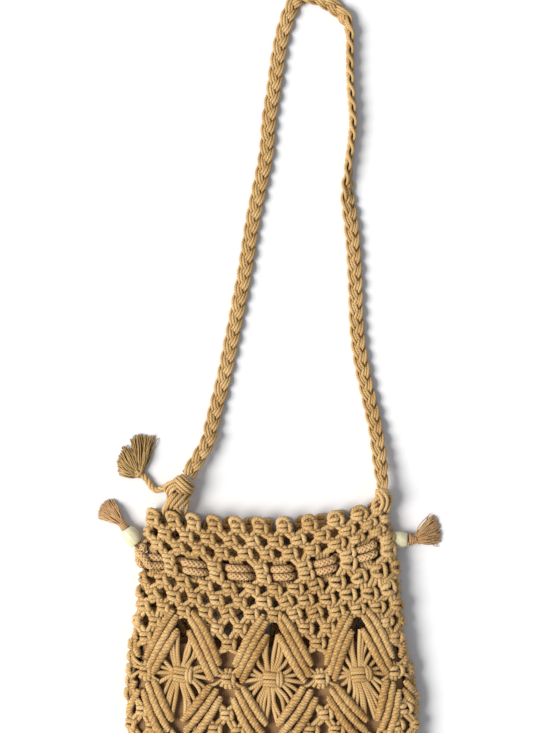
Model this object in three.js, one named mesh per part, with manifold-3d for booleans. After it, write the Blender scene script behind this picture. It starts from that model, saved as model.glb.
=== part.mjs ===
// A macrame shoulder bag lying on its back, in millimetres. +Z is up out of the bag's front, +Y runs from
// the bottom of the bag to its rim and +X to the right. The origin is a point on the flat back.
import * as THREE from "three";
import { mergeVertices } from "three/addons/utils/BufferGeometryUtils.js";
import Module from "manifold-3d";

const wasm = await Module();
wasm.setup();

// The bag
const bag_width = 281;
const bag_height = 271;
const bag_thickness = 34;
const net_wall = 5.6;
const rim_above_origin = 126;
const bag_centre_x = 2;
const gap = 0.3;

// The net: columns of knots right round the bag, half of them on the front
const columns = 24;
const front_columns = 12;
const gap_half_columns = 0.25;
const gap_half_height = 6.8;
const knob_height = 6;

// The lining
const lining_wall = 1;
const lining_clearance = 4.1;
const lining_top_share = 0.44;

// The ribbed diamonds
const columns_per_diamond = 4;
const rib_pitch = 8.6;
const ribs_per_bar = 3;
const rib_height = 2.6;
const groove_height = 1;
const bar_depth = 3;
const spider_size = 12.5;
const spider_height = 3.4;

// The drawstrings, their beads, bindings and tassels
const drawstring_diameter = 6;
const drawstring_spacing = 6.9;
const squeezed_diameter = 3.9;
const window_half_height = 9.4;
const window_half_columns = 0.77;
const bead_length = 17;
const bead_diameter = 16;
const bead_hole = 8.8;
const bead_end_diameter = 12.4;
const left_bead_beside = 12.294;
const right_bead_beside = 11.605;
const binding_diameter = 8.4;
const binding_length = 8.5;
const cord_tassel_length = 24;

// The strap, its knots and the tail cord
const strap_width = 13;
const strap_thickness = 9;
const strap_knot_height = 19;
const strap_knot_width = 23;
const strap_knot_depth = 19;
const strap_end_inset = 9;
const tail_diameter = 6.4;
const tail_knot_size = 9.5;
const tail_tassel_length = 34;

// Each row is a level of the bag: how far down it is (share of bag_height), where its left and right
// edges are (share of bag_width), how thick it is (share of bag_thickness), and how much higher the
// level lies at the left and right edges than in the middle (share of bag_height).
const levels = [
  { down: -0.03, left: -0.420, right: 0.380, thick: 0.70, left_rise: 0.038, right_rise: 0.062 },
  { down: 0.00, left: -0.422, right: 0.384, thick: 0.74, left_rise: 0.038, right_rise: 0.066 },
  { down: 0.09, left: -0.428, right: 0.398, thick: 0.84, left_rise: 0.040, right_rise: 0.088 },
  { down: 0.19, left: -0.437, right: 0.417, thick: 0.92, left_rise: 0.044, right_rise: 0.108 },
  { down: 0.30, left: -0.460, right: 0.434, thick: 0.98, left_rise: 0.032, right_rise: 0.040 },
  { down: 0.42, left: -0.476, right: 0.446, thick: 1.00, left_rise: 0.030, right_rise: 0.028 },
  { down: 0.56, left: -0.486, right: 0.474, thick: 1.00, left_rise: 0.034, right_rise: 0.034 },
  { down: 0.68, left: -0.496, right: 0.496, thick: 0.97, left_rise: 0.026, right_rise: 0.026 },
  { down: 0.79, left: -0.499, right: 0.501, thick: 0.90, left_rise: 0.018, right_rise: 0.018 },
  { down: 0.88, left: -0.495, right: 0.495, thick: 0.76, left_rise: 0.012, right_rise: 0.012 },
  { down: 0.95, left: -0.482, right: 0.482, thick: 0.60, left_rise: 0.010, right_rise: 0.010 },
  { down: 1.00, left: -0.462, right: 0.462, thick: 0.42, left_rise: 0.008, right_rise: 0.008 },
];

// Where every second column of the front lies at a level, as shares of the front's arc from its left edge
const column_places = [
  { down: 0.00, c0: -0.104, c2: 0.072, c4: 0.239, c6: 0.420, c8: 0.625, c10: 0.841, c12: 1.020 },
  { down: 0.19, c0: -0.052, c2: 0.119, c4: 0.291, c6: 0.472, c8: 0.635, c10: 0.804, c12: 0.959 },
  { down: 0.34, c0: 0.042, c2: 0.190, c4: 0.347, c6: 0.517, c8: 0.667, c10: 0.819, c12: 0.965 },
  { down: 0.56, c0: 0.069, c2: 0.188, c4: 0.353, c6: 0.500, c8: 0.677, c10: 0.807, c12: 0.927 },
  { down: 0.79, c0: 0.062, c2: 0.179, c4: 0.341, c6: 0.497, c8: 0.668, c10: 0.846, c12: 0.947 },
  { down: 1.00, c0: 0.062, c2: 0.182, c4: 0.341, c6: 0.497, c8: 0.660, c10: 0.826, c12: 0.940 },
];

// A smooth curve through a table's column
function smooth(table, key, down) {
  const last = table.length - 1;
  let i = 0;
  while (i < last - 1 && down > table[i + 1].down) i += 1;
  const rows = [table[Math.max(i - 1, 0)], table[i], table[i + 1], table[Math.min(i + 2, last)]];
  const span = rows[2].down - rows[1].down;
  const t = THREE.MathUtils.clamp((down - rows[1].down) / span, 0, 1);
  const slope = (a, b) => ((b[key] - a[key]) / (b.down - a.down)) * span;
  const m1 = slope(rows[0], rows[2]);
  const m2 = slope(rows[1], rows[3]);
  const t2 = t * t;
  const t3 = t2 * t;
  return (2 * t3 - 3 * t2 + 1) * rows[1][key] + (t3 - 2 * t2 + t) * m1
    + (3 * t2 - 2 * t3) * rows[2][key] + (t3 - t2) * m2;
}

// The bag's outer section at a level: a flat back with round sides and a gently arched front
const side_height_share = 0.42;
const arch_power = 2.5;
const section_steps = 120;

function section_at(down) {
  const left = bag_width * smooth(levels, "left", down);
  const right = bag_width * smooth(levels, "right", down);
  const thick = bag_thickness * smooth(levels, "thick", down);
  const half = (right - left) / 2;
  const side = thick * side_height_share;
  const middle = bag_centre_x + (left + right) / 2;
  const points = [];
  for (let i = 0; i <= section_steps; i += 1) {
    const a = Math.PI * (1 - i / section_steps);
    const c = Math.cos(a);
    const s = Math.sin(a);
    points.push({
      x: half * Math.sign(c) * Math.abs(c) ** (2 / arch_power),
      z: side + (thick - side) * s ** (2 / arch_power),
    });
  }
  const corner_steps = 16;
  for (let i = 1; i <= corner_steps; i += 1) {
    const a = (Math.PI / 2) * (i / corner_steps);
    points.push({ x: half - side + side * Math.cos(a), z: side - side * Math.sin(a) });
  }
  for (let i = 0; i < corner_steps; i += 1) {
    const a = (Math.PI / 2) * (1 - i / corner_steps);
    points.push({ x: -half + side - side * Math.cos(a), z: side - side * Math.sin(a) });
  }
  const lengths = [0];
  for (let i = 1; i <= points.length; i += 1) {
    const a = points[i - 1];
    const b = points[i % points.length];
    lengths.push(lengths[i - 1] + Math.hypot(b.x - a.x, b.z - a.z));
  }
  return { points, lengths, middle, half, side, thick, front: lengths[section_steps] };
}

const section_cache = new Map();
function section(down) {
  const key = Math.round(down * 4000);
  if (!section_cache.has(key)) section_cache.set(key, section_at(key / 4000));
  return section_cache.get(key);
}

// How far round the section a column lies: by the table on the front, evenly spread over the back
function arc_of(column, down, cut) {
  const total = cut.lengths[cut.points.length];
  const turns = Math.floor(column / columns);
  const c = column - turns * columns;
  const at = (n) => cut.front * smooth(column_places, `c${n}`, down);
  if (c >= front_columns) {
    const share = (c - front_columns) / (columns - front_columns);
    return turns * total + at(front_columns) + share * (total + at(0) - at(front_columns));
  }
  const i = Math.min(2 * Math.floor(c / 2), front_columns - 2);
  return turns * total + at(i) + ((c - i) / 2) * (at(i + 2) - at(i));
}

// A point of the bag: its column, how far down it is, and its depth in from the outer face
function on_bag(column, down, depth) {
  const cut = section(down);
  const total = cut.lengths[cut.points.length];
  let arc = arc_of(column, down, cut) % total;
  if (arc < 0) arc += total;
  let i = 1;
  while (i < cut.lengths.length - 1 && cut.lengths[i] < arc) i += 1;
  const a = cut.points[i - 1];
  const b = cut.points[i % cut.points.length];
  const t = (arc - cut.lengths[i - 1]) / (cut.lengths[i] - cut.lengths[i - 1]);
  const x = a.x + t * (b.x - a.x);
  const z = a.z + t * (b.z - a.z);
  const across = x / cut.half;
  const edge_rise = smooth(levels, across < 0 ? "left_rise" : "right_rise", down);
  const front_rise = edge_rise * across * across;
  const level_rise = THREE.MathUtils.lerp(
    smooth(levels, "left_rise", down), smooth(levels, "right_rise", down), (across + 1) / 2);
  const frontness = THREE.MathUtils.clamp((z - cut.side) / (cut.thick - cut.side), 0, 1);
  const rise = THREE.MathUtils.lerp(level_rise, front_rise, frontness);
  const height = z > cut.side ? cut.thick - cut.side : cut.side;
  return new THREE.Vector3(
    cut.middle + (x * (cut.half - depth)) / cut.half,
    rim_above_origin + bag_height * (rise - down),
    cut.side + ((z - cut.side) * (height - depth)) / height);
}

// Solids
function to_solid(positions, triangles) {
  const geometry = new THREE.BufferGeometry();
  geometry.setAttribute("position", new THREE.Float32BufferAttribute(positions.flat(), 3));
  geometry.setIndex(triangles.flat());
  return geometry_to_solid(geometry);
}

function geometry_to_solid(geometry) {
  geometry.deleteAttribute("normal");
  geometry.deleteAttribute("uv");
  const merged = mergeVertices(geometry, 1e-4);
  const solid = new wasm.Manifold(new wasm.Mesh({
    numProp: 3,
    vertProperties: new Float32Array(merged.attributes.position.array),
    triVerts: new Uint32Array(merged.index.array),
  }));
  if (solid.volume() < 0) throw new Error("a solid is inside out");
  return solid;
}

function solid_to_geometry(solid) {
  const mesh = solid.getMesh();
  const geometry = new THREE.BufferGeometry();
  geometry.setAttribute("position", new THREE.Float32BufferAttribute(mesh.vertProperties, 3));
  geometry.setIndex(Array.from(mesh.triVerts));
  geometry.computeVertexNormals();
  return geometry;
}

function signed_volume(positions, triangles) {
  let sum = 0;
  for (const [a, b, c] of triangles) {
    const [p, q, r] = [positions[a], positions[b], positions[c]];
    sum += p[0] * (q[1] * r[2] - q[2] * r[1]) - p[1] * (q[0] * r[2] - q[2] * r[0])
      + p[2] * (q[0] * r[1] - q[1] * r[0]);
  }
  return sum / 6;
}

function facing_out(positions, triangles) {
  return signed_volume(positions, triangles) < 0 ? triangles.map(([a, b, c]) => [a, c, b]) : triangles;
}

// A shell between an outer and an inner place for each vertex; open edges are closed between the two
function shell(vertices, triangles, outer, inner) {
  const n = vertices.length;
  const positions = [...vertices.map((v) => outer(v).toArray()), ...vertices.map((v) => inner(v).toArray())];
  const all = [];
  const edges = new Map();
  for (const [a, b, c] of triangles) {
    all.push([a, b, c], [a + n, c + n, b + n]);
    for (const [p, q] of [[a, b], [b, c], [c, a]]) edges.set(`${p},${q}`, [p, q]);
  }
  for (const [p, q] of edges.values()) {
    if (!edges.has(`${q},${p}`)) all.push([q, p, p + n], [q, p + n, q + n]);
  }
  return to_solid(positions, facing_out(positions, all));
}

// Triangles between two closed rings of vertices, each in order of its column; the shorter diagonal on the
// unrolled bag decides which ring moves on
function zip(vertices, upper, lower) {
  const column_width = bag_width / front_columns;
  const wrap = (c) => c - columns * Math.round(c / columns);
  const start = vertices[upper[0]].column;
  const offsets = lower.map((k) => Math.abs(wrap(vertices[k].column - start)));
  const nearest = offsets.indexOf(Math.min(...offsets));
  lower = [...lower.slice(nearest), ...lower.slice(0, nearest)];
  const lower_start = start + wrap(vertices[lower[0]].column - start);
  const unroll = (ring, first, i) => {
    const v = vertices[ring[i % ring.length]];
    const lap = Math.floor(i / ring.length);
    const c = (((v.column - vertices[ring[0]].column) % columns) + columns) % columns;
    return new THREE.Vector2((first + c + lap * columns) * column_width, v.down * bag_height);
  };
  const triangles = [];
  let i = 0;
  let j = 0;
  while (i < upper.length || j < lower.length) {
    const a = upper[i % upper.length];
    const b = lower[j % lower.length];
    const across_upper = unroll(upper, start, i + 1).distanceTo(unroll(lower, lower_start, j));
    const across_lower = unroll(upper, start, i).distanceTo(unroll(lower, lower_start, j + 1));
    if (i < upper.length && (j >= lower.length || across_upper <= across_lower)) {
      triangles.push([a, upper[(i + 1) % upper.length], b]);
      i += 1;
    } else {
      triangles.push([a, lower[(j + 1) % lower.length], b]);
      j += 1;
    }
  }
  return triangles;
}

// A closed tube through stations, each with its centre, side and up vectors and two half sizes
function loft(stations, sides) {
  const positions = [];
  for (const { centre, side, up, half_width, half_height } of stations) {
    for (let k = 0; k < sides; k += 1) {
      const a = (2 * Math.PI * (k + 0.5)) / sides;
      const p = centre.clone()
        .addScaledVector(side, half_width * Math.cos(a))
        .addScaledVector(up, half_height * Math.sin(a));
      positions.push(p.toArray());
    }
  }
  const triangles = [];
  for (let i = 0; i + 1 < stations.length; i += 1) {
    for (let k = 0; k < sides; k += 1) {
      const a = i * sides + k;
      const b = i * sides + ((k + 1) % sides);
      triangles.push([a, b, b + sides], [a, b + sides, a + sides]);
    }
  }
  const last = (stations.length - 1) * sides;
  for (let k = 1; k + 1 < sides; k += 1) {
    triangles.push([0, k + 1, k], [last, last + k, last + k + 1]);
  }
  return to_solid(positions, facing_out(positions, triangles));
}

// Stations along a list of points; the up vector stays as near to +Z as the path allows, then turns by twist
function along(points, half_sizes, twist = () => 0) {
  const tangents = points.map((p, i) => points[Math.min(i + 1, points.length - 1)].clone()
    .sub(points[Math.max(i - 1, 0)]).normalize());
  return points.map((centre, i) => {
    const side = new THREE.Vector3().crossVectors(tangents[i], new THREE.Vector3(0, 0, 1)).normalize();
    const up = new THREE.Vector3().crossVectors(side, tangents[i]);
    side.applyAxisAngle(tangents[i], twist(i));
    up.applyAxisAngle(tangents[i], twist(i));
    const [half_width, half_height] = half_sizes(i);
    return { centre, side, up, half_width, half_height };
  });
}

function mesh_of(name, solid, colour, roughness) {
  const material = new THREE.MeshStandardMaterial({ color: colour, roughness, metalness: 0 });
  const mesh = new THREE.Mesh(solid_to_geometry(solid), material);
  mesh.name = name;
  return mesh;
}

const cotton = "#cda56b";
const rose_cotton = "#c49a72";
const cream_wood = "#e9e3bc";
const lining_cloth = "#b48c64";

// The net: rings of vertices from the rim to the bottom, with the gaps left out between two of them.
// Each row of gaps has its level, its first column, its spacing and its half sizes; the rows of the
// diamonds follow the four gaps round each spider knot and the two at each crossing.
const gap_rows = [
  { down: 0.055, first: 0, every: 1, half_columns: gap_half_columns, half_height: gap_half_height },
  { down: 0.108, first: 0.5, every: 1, half_columns: gap_half_columns, half_height: gap_half_height },
  { down: 0.189, first: 1, every: 2, half_columns: window_half_columns, half_height: window_half_height, slot: 0.03 },
  { down: 0.275, first: 0.5, every: 1, half_columns: gap_half_columns, half_height: gap_half_height },
];
const plain_rows = [0.335];
const diamond_gaps = [
  [
    { column: 2, down: 0.425, half_columns: 0.24, half_height: 9 },
    { column: 4, down: 0.490, half_columns: 0.16, half_height: 8 },
  ],
  [
    { column: 1.32, down: 0.549, half_columns: 0.24, half_height: 7 },
    { column: 2.68, down: 0.549, half_columns: 0.24, half_height: 7 },
  ],
  [
    { column: 2, down: 0.673, half_columns: 0.24, half_height: 9 },
    { column: 4, down: 0.620, half_columns: 0.16, half_height: 8 },
  ],
];
const bottom_rows = [0.745, 0.84, 0.93, 1];
const inner_bottom_share = 0.965;

// The columns of a plain ring: wide steps on the front and back, close ones round the bag's two sides
const wide_step = 1;
const close_step = 1 / 2;
const side_columns = [[-2, 1], [11, 14]];

function near_side(column) {
  return side_columns.some(([from, to]) => [0, columns].some(
    (turn) => column - turn >= from - 0.01 && column - turn < to - 0.01));
}

function plain_columns() {
  const ring = [];
  for (let c = 0; c < columns - 0.01; c += near_side(c) ? close_step : wide_step) ring.push(c);
  return ring;
}

function net_rings() {
  const vertices = [];
  const add = (column, down) => vertices.push({ column, down }) - 1;
  const strips = [];
  let above = [];
  for (let k = 0; k < 2 * columns; k += 1) {
    above.push(add(k / 2, (k % 2 ? -0.5 : 0.5) * (knob_height / bag_height)));
  }
  const add_gap_ring = (gaps) => {
    const upper = [];
    const lower = [];
    gaps.forEach((g, index) => {
      const high = g.half_height / bag_height;
      const flat = g.half_columns - (g.slot ?? g.half_columns);
      const left = add(g.column - g.half_columns, g.down);
      const right = add(g.column + g.half_columns, g.down);
      const across = flat > 0 ? [-flat, 0, flat] : [0];
      upper.push(left, ...across.map((c) => add(g.column + c, g.down - high)), right);
      lower.push(left, ...across.map((c) => add(g.column + c, g.down + high)), right);
      const next = gaps[index + 1] ?? { ...gaps[0], column: gaps[0].column + columns };
      const start = vertices[right];
      const span = next.column - next.half_columns - start.column;
      const step = near_side(start.column + span / 2) ? close_step : wide_step;
      const pieces = Math.ceil(span / (g.slot ? span / 2 : step) - 0.01);
      for (let k = 1; k < pieces; k += 1) {
        const t = k / pieces;
        const bridge = add(start.column + span * t, THREE.MathUtils.lerp(start.down, next.down, t));
        upper.push(bridge);
        lower.push(bridge);
      }
    });
    strips.push([above, upper]);
    above = lower;
  };
  const add_plain_ring = (down) => {
    const ring = plain_columns().map((column) => add(column, down));
    strips.push([above, ring]);
    above = ring;
  };
  for (const row of gap_rows) {
    const gaps = [];
    for (let c = row.first; c < columns; c += row.every) gaps.push({ ...row, column: c });
    add_gap_ring(gaps);
  }
  plain_rows.forEach(add_plain_ring);
  for (const row of diamond_gaps) {
    const gaps = [];
    for (let d = 0; d < columns; d += columns_per_diamond) {
      for (const g of row) gaps.push({ ...g, column: g.column + d });
    }
    add_gap_ring(gaps);
  }
  bottom_rows.forEach(add_plain_ring);
  return { vertices, strips, last: above };
}

function closed_shell_triangles(vertices, strips, last, place) {
  const triangles = strips.flatMap(([upper, lower]) => zip(vertices, upper, lower));
  const outline = last.map((k) => place(vertices[k])).map((p) => new THREE.Vector2(p.x, p.z));
  const cap = THREE.ShapeUtils.triangulateShape(outline, []);
  const used = new Set(triangles.flatMap(([a, b, c]) => [`${a},${b}`, `${b},${c}`, `${c},${a}`]));
  const same_way = used.has(`${last[0]},${last[1]}`);
  for (const [a, b, c] of cap) {
    const corners = [last[a], last[b], last[c]];
    const forward = (b > a && c > b) || (c > b && a > c) || (a > c && b > a);
    triangles.push(forward === same_way ? [corners[0], corners[2], corners[1]] : corners);
  }
  return triangles;
}

const outer_place = (v) => on_bag(v.column, v.down, 0);

function net_solid() {
  const { vertices, strips, last } = net_rings();
  const inner_place = (v) => on_bag(v.column, Math.min(v.down, inner_bottom_share), net_wall);
  return shell(vertices, closed_shell_triangles(vertices, strips, last, outer_place), outer_place, inner_place);
}

// One side of a diamond: three clove-hitch ribs side by side, raised on the net
function bar_solid(from, to) {
  const stations = 3;
  const half = (ribs_per_bar * rib_pitch) / 2;
  const profile = [[half, -bar_depth], [half, 0.2]];
  for (let k = ribs_per_bar - 1; k >= 0; k -= 1) {
    const middle = (k - (ribs_per_bar - 1) / 2) * rib_pitch;
    profile.push([middle, rib_height]);
    if (k > 0) profile.push([middle - rib_pitch / 2, groove_height]);
  }
  profile.push([-half, 0.2], [-half, -bar_depth]);
  const column_width = outer_place(from).distanceTo(outer_place({ ...from, column: from.column + 1 }));
  const run = new THREE.Vector2(
    (to.column - from.column) * column_width, (to.down - from.down) * bag_height).normalize();
  const positions = [];
  for (let i = 0; i <= stations; i += 1) {
    const t = i / stations;
    for (const [across, high] of profile) {
      positions.push(on_bag(
        THREE.MathUtils.lerp(from.column, to.column, t) + (across * run.y) / column_width,
        THREE.MathUtils.lerp(from.down, to.down, t) - (across * run.x) / bag_height,
        -high).toArray());
    }
  }
  const n = profile.length;
  const triangles = [];
  for (let i = 0; i < stations; i += 1) {
    for (let k = 0; k < n; k += 1) {
      const a = i * n + k;
      const b = i * n + ((k + 1) % n);
      triangles.push([a, b, b + n], [a, b + n, a + n]);
    }
  }
  const faces = THREE.ShapeUtils.triangulateShape(profile.map(([x, y]) => new THREE.Vector2(x, y)), []);
  for (const [a, b, c] of faces) {
    triangles.push([a, c, b], [a + stations * n, b + stations * n, c + stations * n]);
  }
  return to_solid(positions, facing_out(positions, triangles));
}

// The gathered square knot in the middle of a diamond; on the back both are pressed flush
function spider_solid(column, down) {
  const centre = on_bag(column, down, 0);
  const across = on_bag(column + 0.1, down, 0).sub(on_bag(column - 0.1, down, 0)).normalize();
  const upward = on_bag(column, down - 0.01, 0).sub(on_bag(column, down + 0.01, 0)).normalize();
  const normal = new THREE.Vector3().crossVectors(across, upward).normalize();
  const layers = [[-bar_depth, 1], [spider_height / 2, 1], [spider_height, 0.6]];
  const stations = layers.map(([high, share]) => ({
    centre: centre.clone().addScaledVector(normal, high),
    side: across,
    up: new THREE.Vector3().crossVectors(normal, across),
    half_width: (share * spider_size) / 2,
    half_height: (share * spider_size) / 2,
  }));
  return loft(stations, 8);
}

const diamond_top = 0.375;
const diamond_middle = 0.549;
const diamond_bottom = 0.735;
const bar_inner_column = 0.34;
const bar_outer_column = 1.5;
const bar_corner_drop = 0.022;

function macrame_solid() {
  const pieces = [net_solid()];
  for (let d = 2; d < front_columns; d += columns_per_diamond) {
    for (const way of [-1, 1]) {
      const inner = d + way * bar_inner_column;
      const outer = d + way * bar_outer_column;
      pieces.push(bar_solid({ column: inner, down: diamond_top },
        { column: outer, down: diamond_middle - bar_corner_drop }));
      pieces.push(bar_solid({ column: inner, down: diamond_bottom },
        { column: outer, down: diamond_middle + bar_corner_drop }));
    }
    pieces.push(spider_solid(d, diamond_middle));
  }
  return pieces.reduce((all, piece) => all.add(piece));
}

// The lining: a thin cloth pouch inside the lower net
function lining_solid() {
  const vertices = [];
  const strips = [];
  let above = [];
  const downs = [lining_top_share, 0.56, 0.745, 0.84, 0.93];
  for (const down of downs) {
    const ring = plain_columns().map((column) => vertices.push({ column, down }) - 1);
    if (above.length) strips.push([above, ring]);
    above = ring;
  }
  const outside = net_wall + lining_clearance;
  const outer = (v) => on_bag(v.column, v.down, outside);
  const inner = (v) => on_bag(v.column, Math.min(v.down, 0.92), outside + lining_wall);
  return shell(vertices, closed_shell_triangles(vertices, strips, above, outer), outer, inner);
}

// A drawstring: a round braided cord that weaves through the windows, outside the net between the tall
// knots and inside behind them, right round the bag. Both its ends leave by one window, into a bead.
const outside_depth = drawstring_diameter / 2;
const inside_depth = net_wall + drawstring_diameter / 2 + 1.6;
const behind_bead = 3.6;
const weave_sharpness = 4;
const drawstring_down = 0.189;
const knot_steps = [-0.74, -0.41, 0, 0.41, 0.74];
const right_window = 13;
const left_window = 1;

function weave_depth(column) {
  const from_right_bead = Math.abs(
    column - right_window - columns * Math.round((column - right_window) / columns));
  if (from_right_bead < 1.2) return inside_depth + behind_bead;
  const wave = THREE.MathUtils.clamp(weave_sharpness * Math.cos(Math.PI * column), -1, 1);
  return THREE.MathUtils.lerp(outside_depth, inside_depth, (wave + 1) / 2);
}

function drawstring_path(first, last, track) {
  const down = drawstring_down + (track * drawstring_spacing) / (2 * bag_height);
  const places = [];
  for (let knot = 0; knot <= last + 1; knot += 2) places.push(...knot_steps.map((step) => knot + step));
  return places.filter((column) => column > first - 0.01 && column < last + 0.01)
    .map((column) => on_bag(column, down, weave_depth(column)));
}

// The rim's edges at the beads' level and where the strap's knots sit, as shares of bag_width. The beads
// lie beside the rim, and the knots on it, so all of them follow the bag's width.
const rim_left_share = -0.426;
const rim_right_share = 0.395;
const left_knot_x = -0.3 * bag_width - 0.2;
const right_knot_x = 0.375 * bag_width + 1.125;

// A bead's place: its centre, the way the cord leaves through it, and the way its two cords lie side by side
const left_bead = {
  centre: new THREE.Vector3(rim_left_share * bag_width - left_bead_beside, 109, bead_diameter / 2),
  axis: new THREE.Vector3(-0.6, 0.8, 0),
  spread: new THREE.Vector3(0.8, 0.6, 0),
};
const right_bead = {
  centre: new THREE.Vector3(rim_right_share * bag_width + right_bead_beside, 106, bead_diameter / 2),
  axis: new THREE.Vector3(1, 0, 0),
  spread: new THREE.Vector3(0, 0, 1),
};

function bead_point(bead, forward, aside) {
  return bead.centre.clone().addScaledVector(bead.axis, forward).addScaledVector(bead.spread, aside);
}

// The two ends inside the bead, from its outer end back to just before its inner end
function end_in_bead(bead, way) {
  const aside = way * (squeezed_diameter / 2 + 0.12);
  const half = bead_length / 2;
  return [half - 0.5, 0, -half, -half - 3].map((forward) => bead_point(bead, forward, aside));
}

function drawstring_solid(bead, first, last, track, leads) {
  const start = [...end_in_bead(bead, -1), ...leads.map((lead) => lead(-1))];
  const end = [...end_in_bead(bead, 1), ...leads.map((lead) => lead(1))].reverse();
  const points = [...start, ...drawstring_path(first, last, track), ...end];
  const squeezed = 4;
  const radius = (i) => {
    const from_end = Math.min(i, points.length - 1 - i);
    return (from_end < squeezed ? squeezed_diameter : drawstring_diameter) / 2;
  };
  return loft(along(points, (i) => [radius(i), radius(i)]), 8);
}

function turned_solid(profile, place, axis, sides) {
  const geometry = new THREE.LatheGeometry(profile.map(([r, y]) => new THREE.Vector2(r, y)), sides);
  geometry.rotateY(Math.PI / sides);
  const turn = new THREE.Quaternion().setFromUnitVectors(new THREE.Vector3(0, 1, 0), axis);
  geometry.applyQuaternion(turn);
  geometry.translate(place.x, place.y, place.z);
  return geometry_to_solid(geometry);
}

function bead_solid(bead) {
  const half = bead_length / 2;
  const hole = bead_hole / 2;
  const end = bead_end_diameter / 2;
  const profile = [[hole, -half]];
  const steps = 4;
  for (let i = 0; i <= steps; i += 1) {
    const t = (2 * i) / steps - 1;
    profile.push([end + (bead_diameter / 2 - end) * (1 - t * t), half * t]);
  }
  profile.push([hole, half], [hole, -half]);
  return turned_solid(profile, bead.centre, bead.axis, 14);
}

// A lock of threads from its root to its tip, thickest in the middle
function lock_solid(root, tip, root_size, middle_size, tip_size) {
  const middle = root.clone().lerp(tip, 0.55);
  middle.z = THREE.MathUtils.lerp(root.z, tip.z, 0.75);
  const sizes = [root_size, middle_size, tip_size];
  return loft(along([root, middle, tip], (i) => [sizes[i] / 2, (0.8 * sizes[i]) / 2]), 5);
}

// The tassel beyond a bead: the binding wound round both cord ends, with a fan of locks fused to it
function cord_tassel_solid(bead, fan) {
  const middle = bead_length / 2 + gap + binding_length / 2;
  const place = bead_point(bead, middle, 0);
  const half = binding_length / 2;
  const radius = binding_diameter / 2;
  const wound = [[0, -half], [radius * 0.85, -half], [radius, -half * 0.6], [radius, half * 0.6],
    [radius * 0.85, half], [0, half]];
  const pieces = [turned_solid(wound, place, bead.axis, 10)];
  const root = bead_point(bead, middle + half - 2, 0);
  for (const { turn, reach } of fan) {
    const way = bead.axis.clone().applyAxisAngle(new THREE.Vector3(0, 0, 1), THREE.MathUtils.degToRad(turn));
    const tip = root.clone().addScaledVector(way, reach * cord_tassel_length);
    tip.z = 2.2;
    pieces.push(lock_solid(root, tip, 4, 5.4, 3.4));
  }
  return pieces.reduce((all, piece) => all.add(piece));
}

const left_fan = [
  { turn: -34, reach: 1.02 }, { turn: -17, reach: 1.08 }, { turn: 0, reach: 1.1 },
  { turn: 17, reach: 1.04 }, { turn: 34, reach: 0.94 },
];
const right_fan = [
  { turn: 56, reach: 1.25 }, { turn: 41, reach: 1.2 }, { turn: 26, reach: 1.1 },
  { turn: 11, reach: 1.05 }, { turn: -6, reach: 0.96 },
];

// The strap: a flat braid that lies on the surface in one long loop. Each row is a point of its route, as
// shares of strap_spread and strap_reach from its left end, with its quarter turns onto its edge and how
// high its ends are held, as a share of bag_thickness.
const strap_spread = right_knot_x - left_knot_x - strap_end_inset;
const strap_reach = 456;
const strap_start = { x: left_knot_x + 9.5, y: 169 };
const strap_route = [
  { across: -0.018, up: -0.003, turn: 0, lift: 0.44 }, { across: 0.083, up: 0.065, turn: 0, lift: 0.34 },
  { across: 0.109, up: 0.106, turn: 0, lift: 0.20 }, { across: 0.169, up: 0.200, turn: 0, lift: 0 },
  { across: 0.224, up: 0.308, turn: 0, lift: 0 }, { across: 0.281, up: 0.427, turn: 0, lift: 0 },
  { across: 0.318, up: 0.523, turn: 0, lift: 0 }, { across: 0.354, up: 0.594, turn: 0, lift: 0 },
  { across: 0.391, up: 0.667, turn: 0, lift: 0 }, { across: 0.406, up: 0.737, turn: 0, lift: 0 },
  { across: 0.437, up: 0.821, turn: 0, lift: 0 }, { across: 0.464, up: 0.894, turn: 0, lift: 0 },
  { across: 0.500, up: 0.950, turn: 0, lift: 0 }, { across: 0.547, up: 0.990, turn: 0, lift: 0 },
  { across: 0.615, up: 1.000, turn: 0, lift: 0 }, { across: 0.708, up: 0.987, turn: 0, lift: 0 },
  { across: 0.797, up: 0.958, turn: 0.4, lift: 0 }, { across: 0.828, up: 0.925, turn: 0.9, lift: 0 },
  { across: 0.830, up: 0.869, turn: 1, lift: 0 }, { across: 0.833, up: 0.812, turn: 1, lift: 0 },
  { across: 0.846, up: 0.746, turn: 1, lift: 0 }, { across: 0.840, up: 0.702, turn: 1, lift: 0 },
  { across: 0.822, up: 0.642, turn: 0.9, lift: 0 }, { across: 0.818, up: 0.581, turn: 0.4, lift: 0 },
  { across: 0.840, up: 0.515, turn: 0, lift: 0 }, { across: 0.857, up: 0.423, turn: 0, lift: 0 },
  { across: 0.869, up: 0.302, turn: 0, lift: 0 }, { across: 0.897, up: 0.219, turn: 0, lift: 0 },
  { across: 0.935, up: 0.152, turn: 0, lift: 0 }, { across: 0.971, up: 0.080, turn: 0, lift: 0.22 },
  { across: 0.995, up: -0.005, turn: 0, lift: 0.40 },
];
const strap_steps = 52;

function strap_half_height(turn) {
  const a = (turn * Math.PI) / 2;
  return Math.hypot(strap_thickness * Math.cos(a), strap_width * Math.sin(a)) / 2;
}

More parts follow.
